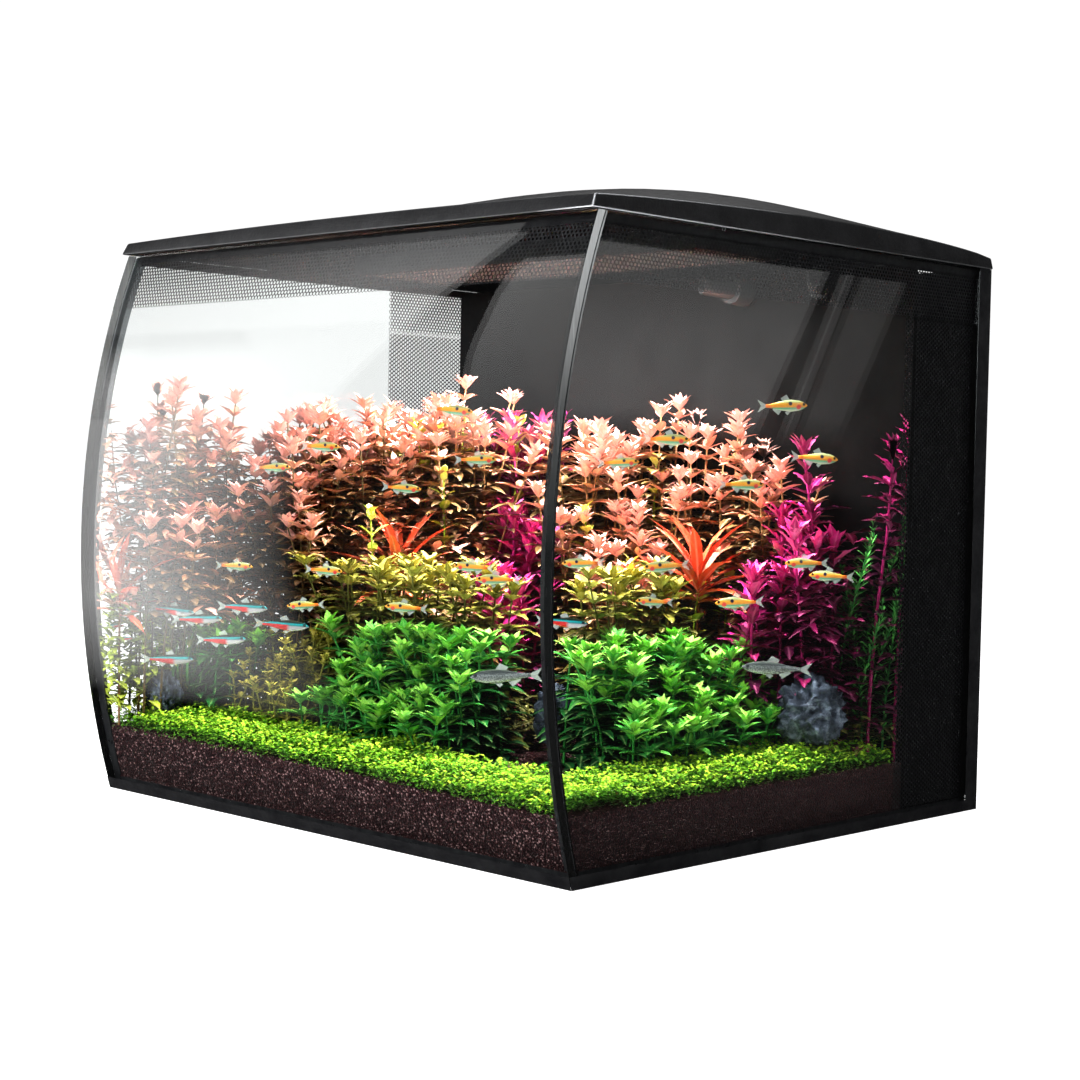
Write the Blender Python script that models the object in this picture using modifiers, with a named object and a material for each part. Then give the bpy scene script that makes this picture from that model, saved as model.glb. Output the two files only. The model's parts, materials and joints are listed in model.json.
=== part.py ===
"""Curved-front glass aquarium with a domed hood, a lamp, a hidden filter chamber and a planted bed.

Metres, +Z up. The front faces -Y and +X is to the right seen from the front. The origin is at the
middle of the whole object's footprint, on the surface that it stands on.
"""

import math

import bmesh
import bpy
from mathutils import Matrix, Vector, noise

# Glass box
TANK_WIDTH = 0.410
GLASS_HEIGHT = 0.3425
REAR_Y = 0.1994            # outer face of the rear pane
BOTTOM_DEPTH = 0.3763      # rear face to the lower edge of the front pane
TOP_DEPTH = 0.3670         # rear face to the upper edge of the front pane
FRONT_SAGITTA = 0.0287     # bulge of the front pane beyond the line between its two edges
GLASS = 0.005
GLASS_CHAMFER = 0.0005
BOTTOM_GLASS = 0.006
ARC_STEPS = 32
GAP = 0.0003               # left between neighbours that touch
BOND = 0.001               # silicone between two panes
FILLET = 0.0026            # silicone bead inside each corner
BEAD_FOOT = 0.0088         # where the upright beads begin, above the beads of the bottom pane

# Filter chamber behind the partition
PARTITION_Y = 0.1220
PARTITION = 0.003
PARTITION_TOP = 0.340
DIVIDER = 0.0025
FOAM_DIVIDER_X = -0.070
PUMP_DIVIDER_X = 0.032
DIVIDER_FLOW_GAP = 0.020
OVERFLOW_Z = 0.300
COMB_SLOTS = 14
COMB_PITCH = 0.0062
COMB_SLOT_WIDTH = 0.003
COMB_START_X = -0.186
COMB_HEIGHTS = (0.062, 0.092)
OUTLET_XS = (0.070, 0.140)
OUTLET_Z = 0.329
OUTLET_HOLE_R = 0.0075
PIPE_R = 0.0060
PIPE_BORE_R = 0.0045

# Pump
PUMP_X = 0.105
PUMP_Y = 0.160
PUMP_LOW = 0.0135
PUMP_SIZE = (0.050, 0.044, 0.056)
CHAMBER_R = 0.0145
CHAMBER_DEPTH = 0.036
SHAFT_R = 0.0012
STUB_R = 0.0070

# Hood
HOOD_BASE = GLASS_HEIGHT + GAP
HOOD_HALF_WIDTH = 0.2057
HOOD_FRONT_Y = -0.1730
HOOD_REAR_Y = 0.2010
HOOD_WALL = 0.0025
HOOD_EDGE = 0.0011         # rounding of the hood's edges
FRONT_LEAN = 0.0036
REAR_LEAN = 0.0006
SIDE_LEAN = 0.20           # inward lean of the hood's side for each unit of its height
CORNER_HEIGHT = 0.0070
SIDE_RISE = 0.0073
CROWN_EDGE = 0.0020
CROWN_RISE = 0.0298
CROWN_POWER = 2.14
ROOF_COLUMNS = 22
ROOF_ROWS = 26

# Feeding flap in the front of the hood
FLAP_HALF_WIDTH = 0.045
FLAP_FRONT_Y = -0.148
HINGE_Y = -0.097
HINGE_DROP = 0.0022        # hinge axis below the roof's outer face
PIN_R = 0.0010
BARREL_R = 0.0019
FLAP_GAP = 0.0006

# Lamp under the hood
LAMP_LOW = (-0.150, -0.025, 0.3386)
LAMP_HIGH = (0.150, 0.055, 0.3520)
LAMP_WALL = 0.003
LAMP_SCREW_X = 0.135

# Planted bed
BED_FRONT = 0.036
BED_LEFT_RISE = 0.006
BED_BACK_RISE = 0.014
BED_INSET = 0.002


def material(name, colour, roughness, metallic=0.0, alpha=1.0):
    """One Principled BSDF, shared by every sub-part made of it."""
    found = bpy.data.materials.get(name)
    if found:
        return found
    made = bpy.data.materials.new(name)
    made.use_nodes = True
    shader = made.node_tree.nodes["Principled BSDF"]
    shader.inputs["Base Color"].default_value = (*colour, 1.0)
    shader.inputs["Roughness"].default_value = roughness
    shader.inputs["Metallic"].default_value = metallic
    shader.inputs["Alpha"].default_value = alpha
    return made


def clear_glass():
    return material("clear_glass", (0.80, 0.88, 0.86), 0.03, alpha=0.35)


def black_silicone():
    return material("black_silicone", (0.012, 0.012, 0.013), 0.35)


def hood_plastic():
    return material("hood_plastic", (0.018, 0.018, 0.019), 0.55)


def chamber_plastic():
    return material("chamber_plastic", (0.030, 0.030, 0.032), 0.45)


def pump_plastic():
    return material("pump_plastic", (0.025, 0.027, 0.030), 0.40)


def nozzle_plastic():
    return material("nozzle_plastic", (0.020, 0.020, 0.021), 0.35)


def foam():
    return material("foam", (0.030, 0.034, 0.040), 0.95)


def media_fabric():
    return material("media_fabric", (0.62, 0.62, 0.58), 0.90)


def ceramic():
    return material("ceramic", (0.75, 0.73, 0.68), 0.70)


def steel():
    return material("steel", (0.60, 0.60, 0.62), 0.30, metallic=1.0)


def magnet_black():
    return material("magnet_black", (0.05, 0.05, 0.055), 0.50)


def rubber():
    return material("rubber", (0.015, 0.015, 0.015), 0.80)


def hose_rubber():
    return material("hose_rubber", (0.05, 0.05, 0.05), 0.60)


def lamp_diffuser():
    return material("lamp_diffuser", (0.85, 0.87, 0.90), 0.25)


def circuit_board():
    return material("circuit_board", (0.80, 0.82, 0.82), 0.40)


def gravel():
    return material("gravel", (0.060, 0.030, 0.028), 0.85)


def rock():
    return material("rock", (0.20, 0.23, 0.28), 0.80)


def leaf(name, colour):
    return material(name, colour, 0.55)


def collection(name):
    """The collection of that name, made and linked when it is first asked for."""
    found = bpy.data.collections.get(name)
    if found is None:
        found = bpy.data.collections.new(name)
        bpy.context.scene.collection.children.link(found)
    return found


def add_part(name, mesh, finish):
    """A sub-part: an object in the aquarium's collection with its own finish."""
    part = bpy.data.objects.new(name, mesh)
    mesh.materials.clear()
    mesh.materials.append(finish)
    collection("curved_front_aquarium").objects.link(part)
    return part


def add_cutter(name, mesh):
    """A helper shape for a Boolean, which isn't part of the object."""
    cutter = bpy.data.objects.new(name, mesh)
    collection("cutters").objects.link(cutter)
    cutter.hide_render = True
    cutter.display_type = "WIRE"
    return cutter


def combine(part, helper, operation):
    """Cuts, joins or keeps the overlap of a part and a helper shape."""
    modifier = part.modifiers.new(operation.title(), "BOOLEAN")
    modifier.operation = operation
    modifier.solver = "EXACT"
    modifier.object = helper
    return part


def chamfer(part, width, segments=1):
    """Breaks the sharp edges of a part."""
    modifier = part.modifiers.new("Chamfer", "BEVEL")
    modifier.width = width
    modifier.segments = segments
    modifier.limit_method = "ANGLE"
    modifier.angle_limit = math.radians(40)
    return part


def mesh_from(build, name):
    """A mesh filled by a function that draws into a bmesh."""
    mesh = bpy.data.meshes.new(name)
    drawing = bmesh.new()
    build(drawing)
    bmesh.ops.recalc_face_normals(drawing, faces=drawing.faces)
    drawing.to_mesh(mesh)
    drawing.free()
    return mesh


def box_mesh(name, *boxes):
    """One mesh of upright boxes, each given by its low and high corners."""

    def build(drawing):
        for low, high in boxes:
            low = Vector(low)
            high = Vector(high)
            place = Matrix.Translation((low + high) / 2) @ Matrix.Diagonal((*(high - low), 1.0))
            bmesh.ops.create_cube(drawing, size=1.0, matrix=place)

    return mesh_from(build, name)


def rod_mesh(name, start, end, radius, end_radius=None, segments=24):
    """A cylinder or cone between two points."""
    start = Vector(start)
    along = Vector(end) - start
    place = Matrix.Translation(start + along / 2) @ along.to_track_quat("Z", "Y").to_matrix().to_4x4()
    far = radius if end_radius is None else end_radius

    def build(drawing):
        bmesh.ops.create_cone(
            drawing, cap_ends=True, segments=segments, radius1=radius, radius2=far,
            depth=along.length, matrix=place,
        )

    return mesh_from(build, name)


PLANES = {
    "XY": Matrix(((1, 0, 0), (0, 1, 0), (0, 0, 1))),
    "YZ": Matrix(((0, 0, 1), (1, 0, 0), (0, 1, 0))),
    "XZ": Matrix(((1, 0, 0), (0, 0, -1), (0, 1, 0))),
}
NORMALS = {"XY": Vector((0, 0, 1)), "YZ": Vector((1, 0, 0)), "XZ": Vector((0, 1, 0))}


def plate_mesh(name, outline, plane, low, high):
    """A flat outline in one plane, as thick as the stretch from low to high across that plane."""
    curve = bpy.data.curves.new(name, "CURVE")
    curve.dimensions = "2D"
    curve.fill_mode = "BOTH"
    curve.extrude = (high - low) / 2
    spline = curve.splines.new("POLY")
    spline.points.add(len(outline) - 1)
    for point, (first, second) in zip(spline.points, outline):
        point.co = (first, second, 0.0, 1.0)
    spline.use_cyclic_u = True
    holder = bpy.data.objects.new(name, curve)
    bpy.context.scene.collection.objects.link(holder)
    evaluated = holder.evaluated_get(bpy.context.evaluated_depsgraph_get())
    mesh = bpy.data.meshes.new_from_object(evaluated)
    bpy.data.objects.remove(holder)
    drawing = bmesh.new()
    drawing.from_mesh(mesh)
    bmesh.ops.remove_doubles(drawing, verts=drawing.verts, dist=0.000001)
    bmesh.ops.recalc_face_normals(drawing, faces=drawing.faces)
    place = Matrix.Translation(NORMALS[plane] * (low + high) / 2) @ PLANES[plane].to_4x4()
    drawing.transform(place)
    drawing.to_mesh(mesh)
    drawing.free()
    return mesh


def turned_part(name, profile, place, finish, steps=24):
    """A ring or spindle: a closed profile of (radius, height) points turned about its local Z axis."""
    mesh = bpy.data.meshes.new(name)
    points = [(radius, 0.0, height) for radius, height in profile]
    edges = [(i, (i + 1) % len(points)) for i in range(len(points))]
    mesh.from_pydata(points, edges, [])
    part = add_part(name, mesh, finish)
    part.matrix_world = place
    screw = part.modifiers.new("Screw", "SCREW")
    screw.axis = "Z"
    screw.steps = steps
    screw.render_steps = steps
    screw.use_merge_vertices = True
    screw.merge_threshold = 0.00001
    screw.use_smooth_shade = True
    return part


FOOT = Vector((REAR_Y - BOTTOM_DEPTH, 0.0))
HEAD = Vector((REAR_Y - TOP_DEPTH, GLASS_HEIGHT))
CHORD = HEAD - FOOT
ARC_RADIUS = (CHORD.length ** 2 / 4 + FRONT_SAGITTA ** 2) / (2 * FRONT_SAGITTA)
ARC_CENTRE = (FOOT + HEAD) / 2 + Vector((CHORD.y, -CHORD.x)).normalized() * (ARC_RADIUS - FRONT_SAGITTA)
HALF = TANK_WIDTH / 2
INNER_HALF = HALF - GLASS
REAR_INNER = REAR_Y - GLASS


def front_y(z, inset=0.0):
    """Y of the front pane's outer face at a height, or of a surface set in behind it."""
    return ARC_CENTRE.x - math.sqrt((ARC_RADIUS - inset) ** 2 - (z - ARC_CENTRE.y) ** 2)


def arc_points(inset, low, high, steps=ARC_STEPS):
    """(Y, Z) points up the front pane's arc, from low to high."""
    heights = [low + (high - low) * i / steps for i in range(steps + 1)]
    return [(front_y(z, inset), z) for z in heights]


def arc_strip(near, far, low, high):
    """The (Y, Z) outline between two surfaces set in behind the front pane."""
    return arc_points(near, low, high) + arc_points(far, low, high)[::-1]


def make_glass():
    """The five panes: the curved front laps the sides' edges, and the rear sits between them."""
    outline = arc_strip(0.0, GLASS, 0.0, GLASS_HEIGHT)
    front = plate_mesh("front_curved_glass", outline, "YZ", -HALF, HALF)
    chamfer(add_part("front_curved_glass", front, clear_glass()), GLASS_CHAMFER, 2)
    side_outline = arc_points(GLASS + BOND, 0.0, GLASS_HEIGHT)
    side_outline += [(REAR_Y, GLASS_HEIGHT), (REAR_Y, 0.0)]
    for name, low in (("left_side_glass", -HALF), ("right_side_glass", INNER_HALF)):
        side = plate_mesh(name, side_outline, "YZ", low, low + GLASS)
        chamfer(add_part(name, side, clear_glass()), GLASS_CHAMFER)
    reach = INNER_HALF - BOND
    rear = box_mesh("rear_glass", ((-reach, REAR_INNER, 0.0), (reach, REAR_Y, GLASS_HEIGHT)))
    chamfer(add_part("rear_glass", rear, clear_glass()), GLASS_CHAMFER)
    front_edge = front_y(0.0, GLASS) + BOND
    floor = box_mesh("bottom_glass", ((-reach, front_edge, 0.0), (reach, REAR_INNER - BOND, BOTTOM_GLASS)))
    chamfer(add_part("bottom_glass", floor, clear_glass()), GLASS_CHAMFER)


def make_front_seams():
    """Upright silicone at the front corners: a thin bond on the side pane's edge and an inner bead."""
    top = GLASS_HEIGHT - 0.001
    bond = arc_strip(GLASS + GAP, GLASS + BOND - GAP, GAP, top)
    bead = arc_strip(GLASS + GAP, GLASS + BOND + FILLET, BEAD_FOOT, top)
    for name, side in (("front_left_seam", -1), ("front_right_seam", 1)):
        ends = sorted((side * (INNER_HALF - FILLET / 2), side * (HALF - GAP)))
        part = add_part(name, plate_mesh(name, bond, "YZ", *ends), black_silicone())
        ends = sorted((side * (INNER_HALF - FILLET - GAP), side * (INNER_HALF - GAP)))
        helper = add_cutter(name + "_bead", plate_mesh(name + "_bead", bead, "YZ", *ends))
        combine(part, helper, "UNION")


def make_rear_seams():
    """Upright silicone at the rear corners: a bond beside the rear pane and an inner bead."""
    inner = INNER_HALF - GAP
    outline = [
        (inner, REAR_Y - 0.001), (inner, REAR_INNER - FILLET), (inner - FILLET, REAR_INNER - GAP),
        (INNER_HALF - BOND + GAP, REAR_INNER - GAP), (INNER_HALF - BOND + GAP, REAR_Y - 0.001),
    ]
    for name, side in (("rear_left_seam", -1), ("rear_right_seam", 1)):
        points = [(side * x, y) for x, y in outline]
        mesh = plate_mesh(name, points, "XY", BEAD_FOOT, GLASS_HEIGHT - 0.001)
        add_part(name, mesh, black_silicone())


def make_bottom_seam():
    """One ring of silicone round the bottom pane: four runs joined at the corners."""
    deck = BOTTOM_GLASS + GAP
    crest = BOTTOM_GLASS + FILLET * 0.7
    edge = front_y(0.0, GLASS) + BOND
    front = [
        (front_y(GAP, GLASS) + GAP, GAP), (edge - GAP, GAP), (edge - GAP, deck), (edge + FILLET, deck),
        (front_y(crest, GLASS) + GAP * 2, crest), (front_y(crest / 2, GLASS) + GAP, crest / 2),
    ]
    reach = INNER_HALF - FILLET / 2 - GAP
    part = add_part("bottom_seam", plate_mesh("bottom_seam", front, "YZ", -reach, reach), black_silicone())
    reach = INNER_HALF - GAP
    wall = REAR_INNER - GAP
    rear = [
        (wall, GAP), (wall, crest), (REAR_INNER - BOND - FILLET, deck),
        (REAR_INNER - BOND + GAP, deck), (REAR_INNER - BOND + GAP, GAP),
    ]
    run = add_cutter("rear_run_of_seam", plate_mesh("rear_run_of_seam", rear, "YZ", -reach, reach))
    combine(part, run, "UNION")
    side_outline = [
        (reach, GAP), (reach, crest), (INNER_HALF - BOND - FILLET, deck),
        (INNER_HALF - BOND + GAP, deck), (INNER_HALF - BOND + GAP, GAP),
    ]
    for name, side in (("left_run_of_seam", -1), ("right_run_of_seam", 1)):
        points = [(side * x, z) for x, z in side_outline]
        run = add_cutter(name, plate_mesh(name, points, "XZ", edge, REAR_INNER - FILLET))
        combine(part, run, "UNION")


def comb_boxes():
    """The slots of the intake comb, as boxes through the partition."""
    low, high = COMB_HEIGHTS
    boxes = []
    for i in range(COMB_SLOTS):
        x = COMB_START_X + i * COMB_PITCH
        boxes.append(((x, PARTITION_Y - 0.002, low), (x + COMB_SLOT_WIDTH, PARTITION_Y + 0.006, high)))
    return boxes


def make_partition():
    """The wall that hides the filter chamber, with an intake comb and two outlet holes."""
    reach = INNER_HALF - GAP
    wall = box_mesh(
        "filter_partition",
        ((-reach, PARTITION_Y, crest_clearance()), (reach, PARTITION_Y + PARTITION, PARTITION_TOP)),
    )
    part = add_part("filter_partition", wall, chamber_plastic())
    slots = box_mesh("comb_slots", *comb_boxes())
    combine(part, add_cutter("comb_slots", slots), "DIFFERENCE")
    for i, x in enumerate(OUTLET_XS):
        name = f"outlet_hole_{i + 1}"
        start = (x, PARTITION_Y - 0.002, OUTLET_Z)
        end = (x, PARTITION_Y + 0.006, OUTLET_Z)
        combine(part, add_cutter(name, rod_mesh(name, start, end, OUTLET_HOLE_R)), "DIFFERENCE")


def crest_clearance():
    """Height just above the silicone round the bottom pane."""
    return BOTTOM_GLASS + FILLET * 0.7 + GAP


def make_dividers():
    """Two baffles that split the filter chamber: water passes under the first and over the second."""
    front = PARTITION_Y + PARTITION + GAP
    rear = REAR_INNER - GAP
    foot = crest_clearance()
    spans = {
        "foam_chamber_divider": (FOAM_DIVIDER_X, foot + DIVIDER_FLOW_GAP, PARTITION_TOP - 0.008),
        "pump_chamber_divider": (PUMP_DIVIDER_X, foot, OVERFLOW_Z),
    }
    for name, (x, low, high) in spans.items():
        mesh = box_mesh(name, ((x - DIVIDER / 2, front, low), (x + DIVIDER / 2, rear, high)))
        chamfer(add_part(name, mesh, chamber_plastic()), 0.0004)


def make_foam_cartridge():
    """A foam block in a carrier with a lifting handle, in the first chamber."""
    low = Vector((-0.190, 0.130, 0.030))
    high = Vector((-0.078, 0.184, 0.240))
    block = box_mesh("foam_block", (low, high))
    chamfer(add_part("foam_block", block, foam()), 0.004, 2)
    wall = 0.003
    back = (low.x, high.y + GAP, low.z - wall - GAP)
    carrier = box_mesh("foam_carrier", (back, (high.x, high.y + GAP + wall, 0.262)))
    part = add_part("foam_carrier", carrier, chamber_plastic())
    shelf = ((low.x, low.y, low.z - wall - GAP), (high.x, high.y + wall, low.z - GAP))
    combine(part, add_cutter("foam_shelf", box_mesh("foam_shelf", shelf)), "UNION")
    middle = (low.x + high.x) / 2
    grip = ((middle - 0.028, high.y + GAP, 0.258), (middle + 0.028, high.y + GAP + wall, 0.292))
    combine(part, add_cutter("foam_grip", box_mesh("foam_grip", grip)), "UNION")
    finger = ((middle - 0.020, high.y - 0.005, 0.270), (middle + 0.020, high.y + 0.010, 0.284))
    combine(part, add_cutter("foam_finger_hole", box_mesh("foam_finger_hole", finger)), "DIFFERENCE")


def make_media_basket():
    """An open basket in the second chamber, holding a pouch of carbon under a bag of ceramic rings."""
    low = Vector((-0.062, 0.130, 0.024))
    high = Vector((0.024, 0.190, 0.230))
    wall = 0.002
    part = add_part("media_basket", box_mesh("media_basket", (low, high)), chamber_plastic())
    inside = (low + Vector((wall, wall, wall)), high + Vector((-wall, -wall, 0.01)))
    combine(part, add_cutter("basket_inside", box_mesh("basket_inside", inside)), "DIFFERENCE")
    margin = Vector((wall + 0.001, wall + 0.001, 0.0))
    pouch = (low + margin + Vector((0, 0, wall + GAP)), Vector((high.x, high.y, 0.105)) - margin)
    pouch_part = add_part("carbon_pouch", box_mesh("carbon_pouch", pouch), media_fabric())
    chamfer(pouch_part, 0.010, 3)
    bag = (Vector((low.x, low.y, 0.107)) + margin, Vector((high.x, high.y, 0.205)) - margin)
    bag_part = add_part("ceramic_ring_bag", box_mesh("ceramic_ring_bag", bag), ceramic())
    chamfer(bag_part, 0.010, 3)


def make_pump():
    """A small submersible pump: housing, slotted cover, fixed shaft and a rubber base with four feet."""
    width, depth, height = PUMP_SIZE
    low = Vector((PUMP_X - width / 2, PUMP_Y - depth / 2, PUMP_LOW))
    high = low + Vector(PUMP_SIZE)
    axis_z = PUMP_LOW + height / 2
    housing = add_part("pump_housing", box_mesh("pump_housing", (low, high)), pump_plastic())
    chamfer(housing, 0.003, 2)
    stub = rod_mesh("pump_stub", (PUMP_X, PUMP_Y, high.z - 0.004), (PUMP_X, PUMP_Y, high.z + 0.020), STUB_R)
    combine(housing, add_cutter("pump_stub", stub), "UNION")
    throat = rod_mesh("pump_throat", (PUMP_X, PUMP_Y, axis_z), (PUMP_X, PUMP_Y, high.z + 0.030), 0.0045)
    combine(housing, add_cutter("pump_throat", throat), "DIFFERENCE")
    chamber_start = (high.x - CHAMBER_DEPTH, PUMP_Y, axis_z)
    chamber = rod_mesh("rotor_chamber", chamber_start, (high.x + 0.01, PUMP_Y, axis_z), CHAMBER_R)
    combine(housing, add_cutter("rotor_chamber", chamber), "DIFFERENCE")
    make_pump_cover(high.x, axis_z)
    shaft_start = (high.x - CHAMBER_DEPTH + GAP, PUMP_Y, axis_z)
    shaft = rod_mesh("impeller_shaft", shaft_start, (high.x - GAP, PUMP_Y, axis_z), SHAFT_R, segments=16)
    add_part("impeller_shaft", shaft, ceramic())
    make_pump_base(low, high)
    make_impeller(high.x, axis_z)


def make_pump_cover(face_x, axis_z):
    """The round intake cover on the end of the pump, slotted for the water."""
    start = (face_x + GAP, PUMP_Y, axis_z)
    disc = rod_mesh("pump_cover", start, (face_x + 0.007, PUMP_Y, axis_z), 0.019, 0.017)
    part = add_part("pump_cover", disc, pump_plastic())
    slots = []
    for i in range(5):
        z = axis_z + (i - 2) * 0.005
        slots.append(((face_x - 0.002, PUMP_Y - 0.010, z - 0.001), (face_x + 0.010, PUMP_Y + 0.010, z + 0.001)))
    combine(part, add_cutter("cover_slots", box_mesh("cover_slots", *slots)), "DIFFERENCE")


def make_pump_base(low, high):
    """A rubber pad that stands the pump on the bottom pane on four suction feet."""
    pad = ((low.x + 0.002, low.y + 0.002, low.z - 0.0033), (high.x - 0.002, high.y - 0.002, low.z - GAP))
    part = add_part("pump_base_pad", box_mesh("pump_base_pad", pad), rubber())
    for i, (x, y) in enumerate(((-1, -1), (-1, 1), (1, -1), (1, 1))):
        foot_x = PUMP_X + x * 0.016
        foot_y = PUMP_Y + y * 0.013
        start = (foot_x, foot_y, BOTTOM_GLASS + GAP)
        cup = rod_mesh(f"suction_foot_{i + 1}", start, (foot_x, foot_y, low.z - 0.002), 0.0065, 0.0035, 16)
        combine(part, add_cutter(f"suction_foot_{i + 1}", cup), "UNION")


def make_impeller(face_x, axis_z):
    """The rotor: a magnet with six blades on its outer end, turning on the shaft."""
    magnet_start = (face_x - CHAMBER_DEPTH + 0.002, PUMP_Y, axis_z)
    magnet_end = (face_x - 0.010, PUMP_Y, axis_z)
    part = add_part("pump_impeller", rod_mesh("pump_impeller", magnet_start, magnet_end, 0.0095), magnet_black())
    disc = rod_mesh("impeller_disc", (face_x - 0.0115, PUMP_Y, axis_z), (face_x - 0.009, PUMP_Y, axis_z), 0.0125)
    combine(part, add_cutter("impeller_disc", disc), "UNION")

    def blades(drawing):
        for i in range(6):
            turn = Matrix.Rotation(i * math.pi / 3, 4, "X")
            centre = Matrix.Translation((face_x - 0.006, PUMP_Y, axis_z))
            size = Matrix.Diagonal((0.0075, 0.0012, 0.0080, 1.0))
            bmesh.ops.create_cube(drawing, size=1.0, matrix=centre @ turn @ Matrix.Translation((0, 0, 0.0078)) @ size)

    combine(part, add_cutter("impeller_blades", mesh_from(blades, "impeller_blades")), "UNION")
    bore_start = (face_x - 0.05, PUMP_Y, axis_z)
    bore = rod_mesh("impeller_bore", bore_start, (face_x + 0.01, PUMP_Y, axis_z), SHAFT_R + 0.00012, segments=16)
    combine(part, add_cutter("impeller_bore", bore), "DIFFERENCE")


def make_plumbing():
    """The riser hose and the tee that feeds both outlets."""
    stub_top = PUMP_LOW + PUMP_SIZE[2] + 0.020
    inner = STUB_R + GAP
    outer = inner + 0.0022
    low = stub_top - 0.016
    high = OUTLET_Z - 0.012
    profile = [(outer, high), (outer, low), (inner, low), (inner, high)]
    turned_part("riser_hose", profile, Matrix.Translation((PUMP_X, PUMP_Y, 0.0)), hose_rubber())
    left, right = OUTLET_XS
    runs = {
        "cross_run": ((left - 0.008, PUMP_Y, OUTLET_Z), (right + 0.008, PUMP_Y, OUTLET_Z)),
        "inlet_run": ((PUMP_X, PUMP_Y, OUTLET_Z), (PUMP_X, PUMP_Y, OUTLET_Z - 0.028)),
        "left_run": ((left, PUMP_Y, OUTLET_Z), (left, PARTITION_Y - 0.004, OUTLET_Z)),
        "right_run": ((right, PUMP_Y, OUTLET_Z), (right, PARTITION_Y - 0.004, OUTLET_Z)),
    }
    radii = {"inlet_run": STUB_R}
    part = add_part("outlet_manifold", rod_mesh("outlet_manifold", *runs.pop("cross_run"), PIPE_R), pump_plastic())
    for name, (start, end) in runs.items():
        helper = add_cutter(name, rod_mesh(name, start, end, radii.get(name, PIPE_R - 0.0004)))
        combine(part, helper, "UNION")
    core = rod_mesh("cross_bore", (left, PUMP_Y, OUTLET_Z), (right, PUMP_Y, OUTLET_Z), PIPE_BORE_R - 0.0005)
    combine(part, add_cutter("cross_bore", core), "DIFFERENCE")
    for name, (start, end) in runs.items():
        reach = Vector(end) + (Vector(end) - Vector(start)).normalized() * 0.004
        bore = rod_mesh(name + "_bore", start, reach, PIPE_BORE_R - 0.001)
        combine(part, add_cutter(name + "_bore", bore), "DIFFERENCE")


def make_outlets():
    """A flanged socket through the partition at each outlet, and a swivelling spout on each."""
    to_front = Matrix.Rotation(math.radians(90), 4, "X")
    bore = PIPE_R
    collar = OUTLET_HOLE_R - GAP
    flange = 0.0105
    profile = [
        (collar, 0.0100), (collar, 0.0022), (flange, 0.0022), (flange, GAP), (collar, GAP),
        (collar, -0.0080), (bore, -0.0080), (bore, 0.0100),
    ]
    for side, x in zip(("left", "right"), OUTLET_XS):
        place = Matrix.Translation((x, PARTITION_Y, OUTLET_Z)) @ to_front
        turned_part(f"{side}_outlet_socket", profile, place, chamber_plastic())
        make_nozzle(side, x)


def make_nozzle(side, x):
    """A cap that turns on the socket's rim, with a spout angled outwards and up."""
    name = f"{side}_outlet_nozzle"
    rim = PARTITION_Y - 0.0022 - GAP
    face = rim - 0.014
    part = add_part(name, rod_mesh(name, (x, rim, OUTLET_Z), (x, face, OUTLET_Z), 0.0098, 0.0088), nozzle_plastic())
    lean = 0.45 if side == "right" else -0.45
    aim = Vector((lean, -1.0, 0.10)).normalized()
    root = Vector((x, face + 0.005, OUTLET_Z))
    tip = root + aim * 0.024
    combine(part, add_cutter(name + "_spout", rod_mesh(name + "_spout", root, tip, 0.0068, 0.0056)), "UNION")
    cup_end = (x, rim - 0.0088, OUTLET_Z)
    cup = rod_mesh(name + "_cup", (x, rim + 0.002, OUTLET_Z), cup_end, OUTLET_HOLE_R + 0.0001)
    combine(part, add_cutter(name + "_cup", cup), "DIFFERENCE")
    throat_start = Vector((x, rim - 0.006, OUTLET_Z))
    throat = rod_mesh(name + "_throat", throat_start, root + aim * 0.030, 0.0044, 0.0043)
    combine(part, add_cutter(name + "_throat", throat), "DIFFERENCE")


def swell(y, skew, power):
    """A smooth hump from 0 at the hood's front to 1 past its middle and back to 0 at its rear."""
    share = (y - HOOD_FRONT_Y) / (HOOD_REAR_Y - HOOD_FRONT_Y)
    share = min(1.0, max(0.0, share))
    return max(0.0, math.sin(math.pi * share ** skew)) ** power


def side_height(y):
    """Height of the hood's side at a depth, from its lower edge to the crease."""
    return CORNER_HEIGHT + SIDE_RISE * swell(y, 1.25, 0.6)


def roof_z(across, y):
    """Height of the roof's outer face; across runs from -1 at the left crease to 1 at the right."""
    crown = CROWN_EDGE + CROWN_RISE * swell(y, 1.29, 1.6)
    return HOOD_BASE + side_height(y) + crown * (1.0 - abs(across) ** CROWN_POWER)


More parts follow.
